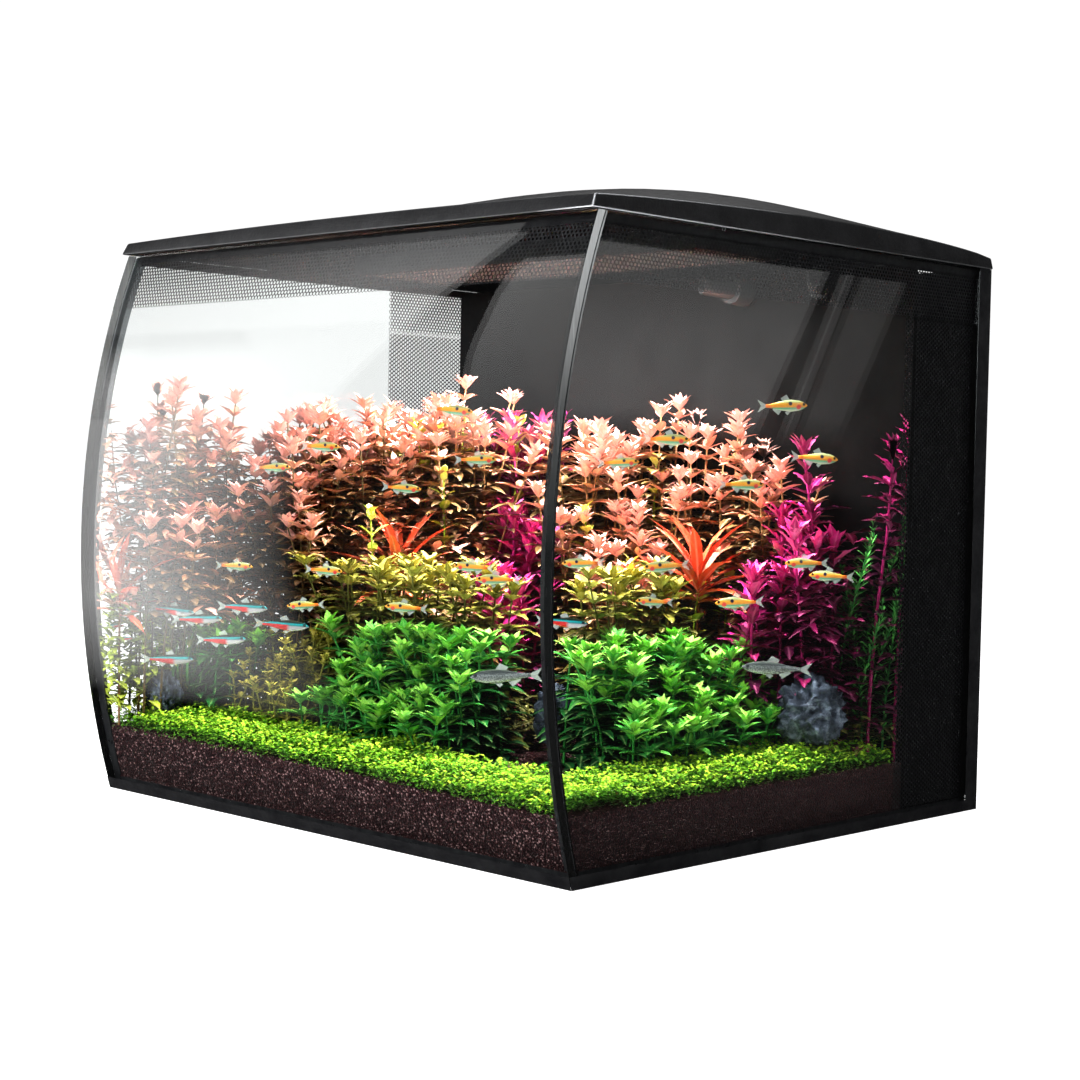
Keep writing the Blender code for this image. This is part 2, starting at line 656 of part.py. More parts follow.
def hood_block_mesh(name, inset, foot):
    """The hood as a full block down to the foot: a domed roof on sides that lean out. Inset makes it smaller."""

    def build(drawing):
        rows = []
        front = HOOD_FRONT_Y + FRONT_LEAN + inset
        rear = HOOD_REAR_Y - REAR_LEAN - inset
        for j in range(ROOF_ROWS + 1):
            y = front + (rear - front) * j / ROOF_ROWS
            half = HOOD_HALF_WIDTH - SIDE_LEAN * side_height(y) - inset
            row = []
            for i in range(ROOF_COLUMNS + 1):
                across = 2.0 * i / ROOF_COLUMNS - 1.0
                row.append(drawing.verts.new((across * half, y, roof_z(across, y) - inset)))
            rows.append(row)
        for near, far in zip(rows, rows[1:]):
            for i in range(ROOF_COLUMNS):
                drawing.faces.new((near[i], near[i + 1], far[i + 1], far[i]))
        right = [row[-1] for row in rows[1:-1]]
        left = [row[0] for row in rows[-2:0:-1]]
        rim = rows[0] + right + rows[-1][::-1] + left
        wide = HOOD_HALF_WIDTH - inset
        hem = []
        for vertex in rim:
            x, y, _ = vertex.co
            on_end = vertex in rows[0] or vertex in rows[-1]
            at_side = not on_end or vertex in (rows[0][0], rows[0][-1], rows[-1][0], rows[-1][-1])
            foot_x = math.copysign(wide, x) if at_side else x
            if vertex in rows[0]:
                y = HOOD_FRONT_Y + inset
            if vertex in rows[-1]:
                y = HOOD_REAR_Y - inset
            hem.append(drawing.verts.new((foot_x, y, foot)))
        for i in range(len(rim)):
            after = (i + 1) % len(rim)
            drawing.faces.new((rim[i], hem[i], hem[after], rim[after]))
        drawing.faces.new(hem)

    return mesh_from(build, name)


def hood_skin(name, finish):
    """The hood's wall as a solid, before anything is cut into it."""
    part = add_part(name, hood_block_mesh(name, 0.0, HOOD_BASE), finish)
    chamfer(part, HOOD_EDGE, 2)
    hollow = add_cutter(name + "_hollow", hood_block_mesh(name + "_hollow", HOOD_WALL, HOOD_BASE - 0.01))
    return combine(part, hollow, "DIFFERENCE")


def hinge_z():
    return roof_z(0.0, HINGE_Y) - HINGE_DROP


def make_hood():
    """The hood, with the feeding opening, hinge bosses, lamp posts, locating ribs and cord notch."""
    part = hood_skin("hood_shell", hood_plastic())
    boss_z = hinge_z()
    for i, side in enumerate((-1, 1)):
        ends = sorted((side * (FLAP_HALF_WIDTH + FLAP_GAP), side * (FLAP_HALF_WIDTH + 0.009)))
        boss = ((ends[0], HINGE_Y - 0.004, boss_z - 0.004), (ends[1], HINGE_Y + 0.005, boss_z + 0.0005))
        combine(part, add_cutter(f"hinge_boss_{i + 1}", box_mesh(f"hinge_boss_{i + 1}", boss)), "UNION")
        post_x = side * LAMP_SCREW_X
        post = rod_mesh(f"lamp_post_{i + 1}", (post_x, 0.015, LAMP_HIGH[2] + GAP), (post_x, 0.015, 0.3735), 0.005)
        combine(part, add_cutter(f"lamp_post_{i + 1}", post), "UNION")
        pilot = rod_mesh(
            f"pilot_hole_{i + 1}", (post_x, 0.015, LAMP_HIGH[2] - 0.002), (post_x, 0.015, 0.366), 0.0018, segments=16
        )
        combine(part, add_cutter(f"pilot_hole_{i + 1}", pilot), "DIFFERENCE")
        ends = sorted((side * (INNER_HALF - 0.0010), side * (INNER_HALF - 0.0030)))
        rib = ((ends[0], -0.060, 0.3370), (ends[1], 0.110, 0.3555))
        combine(part, add_cutter(f"locating_rib_{i + 1}", box_mesh(f"locating_rib_{i + 1}", rib)), "UNION")
    reach = FLAP_HALF_WIDTH + FLAP_GAP
    opening = ((-reach, FLAP_FRONT_Y - FLAP_GAP, 0.3460), (reach, HINGE_Y + 0.0034, 0.3800))
    combine(part, add_cutter("feed_opening", box_mesh("feed_opening", opening)), "DIFFERENCE")
    pin_hole = rod_mesh(
        "pin_hole", (-FLAP_HALF_WIDTH - 0.0063, HINGE_Y, boss_z), (FLAP_HALF_WIDTH + 0.0063, HINGE_Y, boss_z),
        PIN_R + GAP, segments=16,
    )
    combine(part, add_cutter("pin_hole", pin_hole), "DIFFERENCE")
    notch = ((0.1397, REAR_INNER, HOOD_BASE - 0.002), (0.1683, HOOD_REAR_Y + 0.004, HOOD_BASE + 0.0056))
    combine(part, add_cutter("cord_notch", box_mesh("cord_notch", notch)), "DIFFERENCE")


def make_feeding_flap():
    """The flap that is cut from the same dome as the hood, with a hinge barrel along its rear edge."""
    part = hood_skin("feeding_flap", hood_plastic())
    panel = ((-FLAP_HALF_WIDTH, FLAP_FRONT_Y, 0.3400), (FLAP_HALF_WIDTH, HINGE_Y, 0.3800))
    combine(part, add_cutter("flap_panel", box_mesh("flap_panel", panel)), "INTERSECT")
    reach = FLAP_HALF_WIDTH - 0.0005
    ends = ((-reach, HINGE_Y, hinge_z()), (reach, HINGE_Y, hinge_z()))
    barrel = rod_mesh("flap_barrel", *ends, BARREL_R, segments=16)
    combine(part, add_cutter("flap_barrel", barrel), "UNION")
    bore_ends = ((-reach - 0.01, HINGE_Y, hinge_z()), (reach + 0.01, HINGE_Y, hinge_z()))
    bore = rod_mesh("barrel_bore", *bore_ends, PIN_R + 0.00012, segments=16)
    combine(part, add_cutter("barrel_bore", bore), "DIFFERENCE")
    reach = FLAP_HALF_WIDTH + 0.006
    pin = rod_mesh("flap_hinge_pin", (-reach, HINGE_Y, hinge_z()), (reach, HINGE_Y, hinge_z()), PIN_R, segments=16)
    add_part("flap_hinge_pin", pin, steel())


def make_lamp():
    """The lamp under the hood: a trough, a board inside it, a lens over its mouth and two screws."""
    low = Vector(LAMP_LOW)
    high = Vector(LAMP_HIGH)
    part = add_part("lamp_housing", box_mesh("lamp_housing", (low, high)), hood_plastic())
    chamfer(part, 0.0015, 2)
    wall = Vector((LAMP_WALL, LAMP_WALL, 0.0))
    trough = (low + wall - Vector((0, 0, 0.01)), high - wall - Vector((0, 0, LAMP_WALL)))
    combine(part, add_cutter("lamp_trough", box_mesh("lamp_trough", trough)), "DIFFERENCE")
    seat = high.z - LAMP_WALL
    screws = []
    for name, x in (("lamp_screw_left", -LAMP_SCREW_X), ("lamp_screw_right", LAMP_SCREW_X)):
        hole = rod_mesh(name + "_hole", (x, 0.015, seat - 0.002), (x, 0.015, high.z + 0.002), 0.0018, segments=16)
        combine(part, add_cutter(name + "_hole", hole), "DIFFERENCE")
        screws.append((name, x))
    for name, x in screws:
        make_screw(name, x, seat)
    board_low = (-0.125, low.y + 0.008, seat - 0.0021)
    board = box_mesh("lamp_board", (board_low, (0.125, high.y - 0.008, seat - GAP)))
    add_part("lamp_board", board, circuit_board())
    inset = wall + Vector((GAP, GAP, 0.0))
    lens_low = low + inset + Vector((0, 0, GAP))
    lens_high = Vector((high.x, high.y, low.z + 0.0018)) - inset
    add_part("lamp_lens", box_mesh("lamp_lens", (lens_low, lens_high)), lamp_diffuser())


def make_screw(name, x, seat):
    """A round-headed screw that holds the lamp up against a post of the hood."""
    head = 0.0032
    shank = 0.0014
    top = LAMP_HIGH[2] + 0.011
    profile = [
        (shank, top), (shank, seat - GAP), (head, seat - GAP),
        (head, seat - 0.0016), (head * 0.6, seat - 0.0026),
    ]
    mesh = bpy.data.meshes.new(name)
    points = [(0.0, 0.0, top)] + [(r, 0.0, z) for r, z in profile] + [(0.0, 0.0, seat - 0.0026)]
    mesh.from_pydata(points, [(i, i + 1) for i in range(len(points) - 1)], [])
    part = add_part(name, mesh, steel())
    part.location = (x, 0.015, 0.0)
    screw = part.modifiers.new("Screw", "SCREW")
    screw.steps = 16
    screw.render_steps = 16
    screw.use_merge_vertices = True
    screw.merge_threshold = 0.00001


def make_cord_grommet():
    """A rubber lining in the hood's rear notch, where the lamp and pump cords leave."""
    outer = 0.0140
    inner = 0.0120
    middle = 0.1540
    low = HOOD_BASE + GAP
    top = HOOD_BASE + 0.0053
    outline = [
        (middle - outer, low), (middle - outer, top), (middle + outer, top), (middle + outer, low),
        (middle + inner, low), (middle + inner, top - 0.0012), (middle - inner, top - 0.0012), (middle - inner, low),
    ]
    mesh = plate_mesh("cord_grommet", outline, "XZ", HOOD_REAR_Y - 0.0045, HOOD_REAR_Y - 0.0003)
    add_part("cord_grommet", mesh, rubber())


def bed_z(x, y):
    """Height of the gravel's surface: level along the right pane, rising to the left and to the back."""
    left = (INNER_HALF - x) / (2 * INNER_HALF)
    front = front_y(BED_FRONT, GLASS)
    back = (y - front) / (PARTITION_Y - front)
    return BED_FRONT + BED_LEFT_RISE * left + BED_BACK_RISE * back * min(1.0, left * 2.5)


def highest_bed(left, near, right, far):
    """A height just clear of the gravel under an upright patch of it."""
    return max(bed_z(x, y) for x in (left, right) for y in (near, far)) + 0.0012


def make_gravel_bed():
    """The gravel as one block that follows the front pane's slope and has a gently rising top."""
    columns = 10
    rows = 8
    floor = BOTTOM_GLASS + GAP
    reach = INNER_HALF - FILLET - GAP * 2
    foot_reach = INNER_HALF - BOND - FILLET - GAP
    foot_front = front_y(0.0, GLASS) + BOND + FILLET + GAP
    back = PARTITION_Y - GAP

    def build(drawing):
        top = []
        for j in range(rows + 1):
            front = front_y(BED_FRONT, GLASS) + BED_INSET
            y = front + (back - front) * j / rows
            line = []
            for i in range(columns + 1):
                x = reach * (2.0 * i / columns - 1.0)
                line.append(drawing.verts.new((x, y, bed_z(x, y))))
            top.append(line)
        for near, far in zip(top, top[1:]):
            for i in range(columns):
                drawing.faces.new((near[i], near[i + 1], far[i + 1], far[i]))
        rim = top[0] + [line[-1] for line in top[1:]] + top[-1][-2::-1] + [line[0] for line in top[-2:0:-1]]
        foot = []
        for vertex in rim:
            x = vertex.co.x * foot_reach / reach
            foot.append(drawing.verts.new((x, max(vertex.co.y, foot_front), floor)))
        for i in range(len(rim)):
            after = (i + 1) % len(rim)
            drawing.faces.new((rim[i], foot[i], foot[after], rim[after]))
        drawing.faces.new(foot)
        bmesh.ops.triangulate(drawing, faces=[face for face in drawing.faces if len(face.verts) > 4])
        bmesh.ops.remove_doubles(drawing, verts=drawing.verts, dist=0.00001)

    add_part("gravel_bed", mesh_from(build, "gravel_bed"), gravel())


def make_rock(name, centre, size, seed):
    """A weathered stone: a sphere with its surface pushed in and out and its foot cut level."""
    reach = Vector(size) / 2
    foot = highest_bed(centre[0] - reach.x, centre[1] - reach.y, centre[0] + reach.x, centre[1] + reach.y)

    def build(drawing):
        bmesh.ops.create_icosphere(drawing, subdivisions=3, radius=0.5)
        for vertex in drawing.verts:
            shift = noise.noise(vertex.co * 3.1 + Vector((seed, 0.0, 0.0)))
            vertex.co *= 1.0 + 0.28 * shift
        bmesh.ops.scale(drawing, vec=size, verts=drawing.verts)
        bmesh.ops.translate(drawing, vec=(centre[0], centre[1], foot + size[2] * 0.34), verts=drawing.verts)
        geometry = drawing.verts[:] + drawing.edges[:] + drawing.faces[:]
        bmesh.ops.bisect_plane(
            drawing, geom=geometry, plane_co=(0, 0, foot), plane_no=(0, 0, 1), clear_inner=True, dist=0.00001
        )
        open_edges = [edge for edge in drawing.edges if edge.is_boundary]
        bmesh.ops.holes_fill(drawing, edges=open_edges)

    add_part(name, mesh_from(build, name), rock())


def make_plant(name, low, high, finish):
    """One clump of plants as a plain rounded form that stands on the gravel."""
    foot = highest_bed(low[0], low[1], high[0], high[1])
    base = ((low[0], low[1], foot), (high[0], high[1], high[2]))
    part = add_part(name, box_mesh(name, base), finish)
    soft = part.modifiers.new("Soft", "SUBSURF")
    soft.levels = 2
    soft.render_levels = 2


def make_planting():
    """The rocks and the clumps of plants, each kept clear of its neighbours."""
    make_rock("left_rock", (-0.178, -0.1565), (0.032, 0.022, 0.044), 2.0)
    make_rock("middle_rock", (0.082, -0.062), (0.030, 0.030, 0.050), 4.0)
    make_rock("right_rock", (0.172, 0.066), (0.042, 0.056, 0.056), 7.0)
    green = leaf("green_leaf", (0.10, 0.36, 0.05))
    lime = leaf("lime_leaf", (0.28, 0.55, 0.04))
    olive = leaf("olive_leaf", (0.42, 0.36, 0.06))
    salmon = leaf("salmon_leaf", (0.72, 0.36, 0.28))
    red = leaf("red_leaf", (0.62, 0.10, 0.03))
    magenta = leaf("magenta_leaf", (0.50, 0.02, 0.14))
    clumps = {
        "front_carpet": ((-0.155, -0.182), (0.196, -0.138, 0.058), lime),
        "right_carpet": ((0.160, -0.136), (0.196, 0.036, 0.056), lime),
        "left_green_bush": ((-0.176, -0.136), (-0.146, -0.106, 0.104), green),
        "near_green_bush": ((-0.066, -0.136), (0.066, -0.084, 0.110), green),
        "right_green_bush": ((0.102, -0.078), (0.158, 0.036, 0.110), green),
        "brown_bush": ((-0.144, -0.136), (-0.068, -0.096, 0.106), olive),
        "grass_tuft": ((-0.197, -0.140), (-0.178, -0.112, 0.122), green),
        "left_red_plant": ((-0.197, -0.184), (-0.180, -0.170, 0.192), red),
        "left_stem_plants": ((-0.197, -0.104), (-0.118, 0.076, 0.262), salmon),
        "middle_stem_plants": ((-0.116, -0.006), (-0.064, 0.076, 0.268), salmon),
        "front_red_plant": ((-0.116, -0.054), (-0.064, -0.008, 0.200), red),
        "olive_plants": ((-0.116, -0.082), (0.050, -0.056, 0.150), olive),
        "right_olive_plants": ((0.074, -0.036), (0.100, 0.036, 0.150), olive),
        "centre_stem_plants": ((-0.056, 0.040), (0.066, 0.118, 0.270), salmon),
        "right_red_plant": ((0.070, 0.040), (0.104, 0.086, 0.205), red),
        "centre_magenta_plant": ((-0.150, 0.078), (-0.068, 0.118, 0.262), magenta),
        "right_magenta_plant": ((0.070, 0.090), (0.142, 0.118, 0.258), magenta),
        "right_fern": ((0.144, 0.096), (0.196, 0.118, 0.200), green),
    }
    for name, (low, high, finish) in clumps.items():
        make_plant(name, low, high, finish)


def clear_scene():
    for thing in list(bpy.data.objects):
        bpy.data.objects.remove(thing)


def main():
    clear_scene()
    make_glass()
    make_front_seams()
    make_rear_seams()
    make_bottom_seam()
    make_partition()
    make_dividers()
    make_foam_cartridge()
    make_media_basket()
    make_pump()
    make_plumbing()
    make_outlets()
    make_hood()
    make_feeding_flap()
    make_lamp()
    make_cord_grommet()
    make_gravel_bed()
    make_planting()


main()
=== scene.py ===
"""Looks for the planted, curved-front glass aquarium: its print, glass, plastics, gravel, plants and fish.

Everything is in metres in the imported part's own frame: +Z up, the curved pane faces -Y.
"""

import json
import math

import bmesh
import bpy
import numpy as np
from mathutils import Matrix, Vector, noise
from mathutils.bvhtree import BVHTree


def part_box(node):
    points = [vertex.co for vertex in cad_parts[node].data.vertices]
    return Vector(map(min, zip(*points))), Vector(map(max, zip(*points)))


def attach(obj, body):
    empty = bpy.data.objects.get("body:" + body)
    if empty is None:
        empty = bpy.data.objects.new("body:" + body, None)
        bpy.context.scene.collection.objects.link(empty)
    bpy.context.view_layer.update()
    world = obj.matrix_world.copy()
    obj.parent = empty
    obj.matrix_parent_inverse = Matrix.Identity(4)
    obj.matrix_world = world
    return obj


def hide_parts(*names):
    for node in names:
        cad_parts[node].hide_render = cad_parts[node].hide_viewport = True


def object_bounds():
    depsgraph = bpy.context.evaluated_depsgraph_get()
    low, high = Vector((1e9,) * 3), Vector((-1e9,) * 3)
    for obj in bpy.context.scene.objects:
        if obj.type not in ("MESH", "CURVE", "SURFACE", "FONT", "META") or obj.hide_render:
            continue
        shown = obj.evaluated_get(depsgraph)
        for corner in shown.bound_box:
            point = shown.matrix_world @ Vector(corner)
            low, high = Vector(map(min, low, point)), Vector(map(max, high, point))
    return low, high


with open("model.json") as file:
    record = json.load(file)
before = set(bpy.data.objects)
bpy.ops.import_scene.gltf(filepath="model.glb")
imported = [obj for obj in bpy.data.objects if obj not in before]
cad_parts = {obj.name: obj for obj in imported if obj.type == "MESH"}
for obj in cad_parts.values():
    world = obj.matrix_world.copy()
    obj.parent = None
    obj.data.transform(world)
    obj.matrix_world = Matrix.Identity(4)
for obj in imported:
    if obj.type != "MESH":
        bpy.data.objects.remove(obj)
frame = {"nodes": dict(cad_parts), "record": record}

CAD_BOX = [list(corner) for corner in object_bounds()]
NODES = frame["nodes"]
TANK = "tank"

# Camera, where the picture of the tank was taken from
CAMERA_PLACE = (0.8810, -0.9004, 0.2141)
CAMERA_TURN = math.radians(44.182)
CAMERA_TILT = math.radians(-2.183)
CAMERA_ROLL = math.radians(1.171)
CAMERA_LENS = 66.16
SENSOR = 36.0

# The tank's inner faces, read from its panes
LEFT_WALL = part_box("left_side_glass")[1].x
RIGHT_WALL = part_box("right_side_glass")[0].x
REAR_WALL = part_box("rear_glass")[0].y
GLASS_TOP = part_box("front_curved_glass")[1].z
PARTITION_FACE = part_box("filter_partition")[0].y
FLOOR_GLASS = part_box("bottom_glass")[1].z
HOOD_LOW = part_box("hood_shell")[0].z
PRINT_GAP = 0.00015        # between a pane and the film printed on it
PRINT_MARGIN = 0.0004      # bare glass between a print's end and the next pane
LEAF_GAP = 0.0012          # between a pane and the leaves pressed towards it

# Faces that meet at more than this stay crisp, in degrees
CREASE = 28
PANE_CREASE = 12

# Light
MIRRORED_ROOM = 0.035      # brightness of the room as the glass and the hood mirror it
ROOM_LIGHT = 0.16          # brightness of the room as it lights the tank

# The printed honeycomb
BAND_LOW = 0.3078          # lower edge of the band round the top
BAND_SOLID = 0.0045        # solid black at the very top
HOLE_PITCH = 0.00285
HOLE_ROW = 0.0021
HOLE_RADIUS = 0.00106
REAR_BAND_RIGHT = 0.113    # where the rear band begins on the right pane
REAR_BAND_LEFT = 0.051     # and on the left pane
BASE_BAND = 0.0072         # solid black round the foot of the panes
BASE_LOW = 0.0001          # its lower edge
PRINT_TOP = GLASS_TOP - 0.0006
FRONT_LAP = 0.0006         # how far the end strips of the front pane reach past its inner face
END_STRIP = 0.0014         # and how far they reach out over its end face, below the top band
ARC_MARGIN = 0.0002        # between a print and the front pane's outer face
REAR_EDGE = 0.0085         # width of the strips up the side panes' rear edges, in front of the rear pane
FILM_LIFT = 0.00012        # of the rear film over the rear pane's top edge

# Planting
CARPET_SPACING = 0.0034
CARPET_RISE = 0.010        # height of the lawn's leaves over the gravel
FRINGE = (                 # leaves pressed between pane and gravel: how far down, what share and their tint, darker the deeper they sit as painted shade
    (-0.002, 1.0, 0.45), (0.001, 0.9, 0.30), (0.004, 0.7, 0.15),
    (0.007, 0.40, 0.05), (0.010, 0.22, 0.0), (0.013, 0.10, 0.0),
)
PRESSED = 0.0009           # distance from the pane of leaves pressed to it
ALL_COLUMNS = (-1.0, 1.0)
SALMON_END = -0.044        # the column where the salmon stems left of the near corner end
SALMON_START = 0.022       # and where those right of it begin
MAGENTA_START = 0.252      # the column where the magenta stems of the right-hand side begin

UPWARD = np.array([0, 0, 1.0])
WHITE = (1.0, 1.0, 1.0)


def pane_arc(side):
    """Centre (Y, Z) and radius of one face of the front pane, fitted to its mesh.

    Side is 1 for the inner face and -1 for the outer one.
    """
    mesh = NODES["front_curved_glass"].data
    squarely, sideways = 0.88, 0.1
    broad = [f for f in mesh.polygons if f.normal.y * side > squarely and abs(f.normal.x) < sideways]
    used = {vertex for face in broad for vertex in face.vertices}
    points = np.array([mesh.vertices[vertex].co for vertex in sorted(used)])
    y, z = points[:, 1], points[:, 2]
    system = np.stack([y, z, np.ones(len(y))], axis=1)
    a, b, c = np.linalg.lstsq(system, -(y**2 + z**2), rcond=None)[0]
    return -a / 2, -b / 2, math.sqrt(a * a / 4 + b * b / 4 - c)


ARC_Y, ARC_Z, ARC_RADIUS = pane_arc(1)
OUTER_Y, OUTER_Z, OUTER_RADIUS = pane_arc(-1)


def front_wall(z):
    """Y of the front pane's inner face at a height, for one number or an array."""
    return ARC_Y - np.sqrt(ARC_RADIUS**2 - (z - ARC_Z) ** 2)


def front_face(z):
    """Y of the front pane's outer face at a height."""
    return OUTER_Y - math.sqrt(OUTER_RADIUS**2 - (z - OUTER_Z) ** 2)


def ground_finder():
    """A ray caster for the top of the gravel."""
    mesh = NODES["gravel_bed"].data
    return BVHTree.FromPolygons([v.co for v in mesh.vertices], [p.vertices for p in mesh.polygons])


GROUND = ground_finder()
BED_LOW, BED_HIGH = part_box("gravel_bed")


def ground(x, y):
    """Height of the gravel under a point, read a little way in from the panes."""
    x = min(max(x, BED_LOW.x + 0.004), BED_HIGH.x - 0.004)
    y = min(max(y, BED_LOW.y + 0.012), BED_HIGH.y - 0.002)
    hit = GROUND.ray_cast(Vector((x, y, GLASS_TOP)), Vector((0, 0, -1)))
    return hit[0].z


# ---------------------------------------------------------------- materials


class Look:
    """One procedural material, with short calls for the nodes that it is made of."""

    def __init__(self, name, **sockets):
        self.material = bpy.data.materials.new(name)
        self.material.use_nodes = True
        self.tree = self.material.node_tree
        self.shader = self.tree.nodes["Principled BSDF"]
        for socket, value in sockets.items():
            self.shader.inputs[socket.replace("_", " ")].default_value = value
        self.place = self.node("ShaderNodeTexCoord").outputs["Object"]

    def node(self, kind, inputs=None, **settings):
        made = self.tree.nodes.new(kind)
        for key, value in settings.items():
            setattr(made, key, value)
        for socket, value in (inputs or {}).items():
            self.feed(made.inputs[socket], value)
        return made

    def feed(self, socket, value):
        if isinstance(value, bpy.types.NodeSocket):
            self.tree.links.new(value, socket)
        elif isinstance(value, tuple) and len(value) == 3 and socket.type == "RGBA":
            socket.default_value = (*value, 1.0)
        else:
            socket.default_value = value

    def set(self, socket, value):
        self.feed(self.shader.inputs[socket], value)

    def noise(self, scale, detail=3.0, roughness=0.55, stretch=None):
        place = self.place
        if stretch:
            place = self.node("ShaderNodeMapping", {"Vector": place, "Scale": stretch}).outputs[0]
        sockets = {"Vector": place, "Scale": scale, "Detail": detail, "Roughness": roughness}
        return self.node("ShaderNodeTexNoise", sockets).outputs[0]

    def cells(self, scale, output="Distance"):
        return self.node("ShaderNodeTexVoronoi", {"Vector": self.place, "Scale": scale}).outputs[output]

    def maths(self, operation, a, b=0.0):
        made = self.node("ShaderNodeMath", {0: a, 1: b}, operation=operation)
        return made.outputs[0]

    def spread(self, value, low, high, to_low=0.0, to_high=1.0):
        sockets = {"Value": value, "From Min": low, "From Max": high, "To Min": to_low, "To Max": to_high}
        return self.node("ShaderNodeMapRange", sockets).outputs[0]

    def axis(self, name, source=None):
        parts = self.node("ShaderNodeSeparateXYZ", {0: source or self.place})
        return parts.outputs[name]

    def ramp(self, value, *stops):
        made = self.node("ShaderNodeValToRGB", {"Fac": value})
        elements = made.color_ramp.elements
        while len(elements) < len(stops):
            elements.new(0.5)
        for element, (position, colour) in zip(elements, stops):
            element.position = position
            element.color = (*colour, 1.0)
        return made.outputs["Color"]

    def mix(self, share, a, b, blend="MIX"):
        made = self.node("ShaderNodeMix", data_type="RGBA", blend_type=blend)
        self.feed(made.inputs[0], share)
        self.feed(made.inputs[6], a)
        self.feed(made.inputs[7], b)
        return made.outputs[2]

    def bump(self, height, strength, distance=0.0004):
        sockets = {"Height": height, "Strength": strength, "Distance": distance}
        if self.shader.inputs["Normal"].is_linked:
            sockets["Normal"] = self.shader.inputs["Normal"].links[0].from_socket
        self.set("Normal", self.node("ShaderNodeBump", sockets).outputs[0])

    def colour(self, value, *stops):
        """A base colour that runs through some stops."""
        self.set("Base Color", self.ramp(value, *stops))

    def gloss(self, value, low, high, start=0.3, end=0.7):
        """A roughness from low to high as a value goes from start to end."""
        self.set("Roughness", self.spread(value, start, end, low, high))

    def surface(self, shader):
        self.feed(self.tree.nodes["Material Output"].inputs["Surface"], shader)

    def blend_surface(self, share, a, b):
        """One shader where the share is 0 and another where it is 1."""
        mixed = self.node("ShaderNodeMixShader", {0: share, 1: a.outputs[0], 2: b.outputs[0]})
        self.surface(mixed.outputs[0])


def moulded(name, colour, roughness, grain, strength, worn=0.0, cloud=0.3, painted_underside_shade=1.0, shine=0.5):
    """Moulded plastic: a fine pebbled skin, uneven gloss, slightly rubbed edges and, where asked, painted
    shade on the faces that look down.
    """
    look = Look(name)
    darker = tuple(c * (1.0 - cloud) for c in colour)
    lighter = tuple(c * (1.0 + cloud) + 0.001 for c in colour)
    base = look.ramp(look.noise(38.0, 4.0), (0.30, darker), (0.72, lighter))
    if worn:
        edge = look.node("ShaderNodeNewGeometry").outputs["Pointiness"]
        share = look.spread(edge, 0.51, 0.58, 0.0, worn)
        base = look.mix(share, base, tuple(min(1.0, c * 4 + 0.03) for c in colour))
    # Painted shade: faces that look down are darkened and lose shine, by the share given for the underside
    if painted_underside_shade < 1.0:
        normal = look.node("ShaderNodeTexCoord").outputs["Normal"]
        underside_shade_mask = look.spread(look.axis("Z", normal), -0.2, -0.6)
        base = look.mix(underside_shade_mask, base, tuple(c * painted_underside_shade for c in colour))
        shine = look.spread(underside_shade_mask, 0.0, 1.0, shine, shine * painted_underside_shade)
    look.set("Specular IOR Level", shine)
    look.set("Base Color", base)
    look.gloss(look.noise(210.0, 3.0), roughness - 0.07, roughness + 0.09)
    look.bump(look.cells(grain), strength, 0.00025)
    look.bump(look.noise(grain * 2.3, 2.0), strength * 0.5, 0.0001)
    return look


def hood_plastic():
    """Black pebbled plastic with painted shade beneath and a painted highlight along its creases, strongest
    round the near corner.
    """
    look = moulded("hood_plastic", (0.0095, 0.0095, 0.0102), 0.50, 620.0, 0.55, painted_underside_shade=0.12)
    # Painted highlight: the creases above the lip are lightened towards a pale grey, most at the front and
    # towards the near corner
    flat = look.node("ShaderNodeNewGeometry").outputs["Normal"]
    rounded = look.node("ShaderNodeBevel", {"Radius": 0.0011}, samples=6).outputs[0]
    level = look.node("ShaderNodeVectorMath", {0: flat, 1: rounded}, operation="DOT_PRODUCT").outputs["Value"]
    crease = look.spread(level, 0.992, 0.955)
    above = look.spread(look.axis("Z"), HOOD_LOW + 0.003, HOOD_LOW + 0.005)
    along = look.spread(look.axis("Y"), 0.05, -0.15, 0.10, 1.0)
    highlight_to_corner = look.spread(look.axis("X"), 0.165, 0.195, 0.10, 1.0)
    crease_highlight = look.maths("MULTIPLY", crease, above)
    share = look.maths("MULTIPLY", crease_highlight, look.maths("MULTIPLY", along, highlight_to_corner))
    base = look.shader.inputs["Base Color"].links[0].from_socket
    look.set("Base Color", look.mix(share, base, (0.75, 0.77, 0.80)))
    return look.material


def chamber_plastic():
    colour = (0.0008, 0.0009, 0.0010)
    return moulded("chamber_plastic", colour, 0.55, 1400.0, 0.12, cloud=0.1, shine=0.10).material


def pump_plastic():
    return moulded("pump_plastic", (0.022, 0.024, 0.028), 0.38, 1100.0, 0.2, worn=0.3).material


def nozzle_plastic():
    return moulded("nozzle_plastic", (0.008, 0.008, 0.0085), 0.42, 1500.0, 0.12, worn=0.1).material


def rubber(name, colour, roughness):
    """Matt rubber with a powdery bloom."""
    look = Look(name)
    lighter = tuple(c * 2.2 + 0.004 for c in colour)
    look.colour(look.noise(160.0, 5.0), (0.35, colour), (0.8, lighter))
    look.gloss(look.noise(420.0), roughness - 0.1, min(1.0, roughness + 0.1))
    look.bump(look.noise(1500.0, 3.0), 0.25, 0.00015)
    return look.material


def black_silicone():
    """Tooled silicone: glossy, with soft drags along the bead, and faintly see-through, more and more from
    0.17 m up to 0.28 m.
    """
    look = Look("black_silicone")
    drag = look.noise(60.0, 4.0, stretch=(4.0, 4.0, 0.6))
    look.colour(drag, (0.3, (0.004, 0.004, 0.005)), (0.8, (0.020, 0.021, 0.022)))
    look.gloss(look.noise(120.0), 0.24, 0.42)
    look.bump(drag, 0.35, 0.0004)
    clear = look.node("ShaderNodeBsdfTransparent", {"Color": (0.55, 0.57, 0.58)})
    sight = look.spread(look.axis("Z"), 0.17, 0.28, 0.0, 0.78)
    look.blend_surface(sight, look.shader, clear)
    return look.material


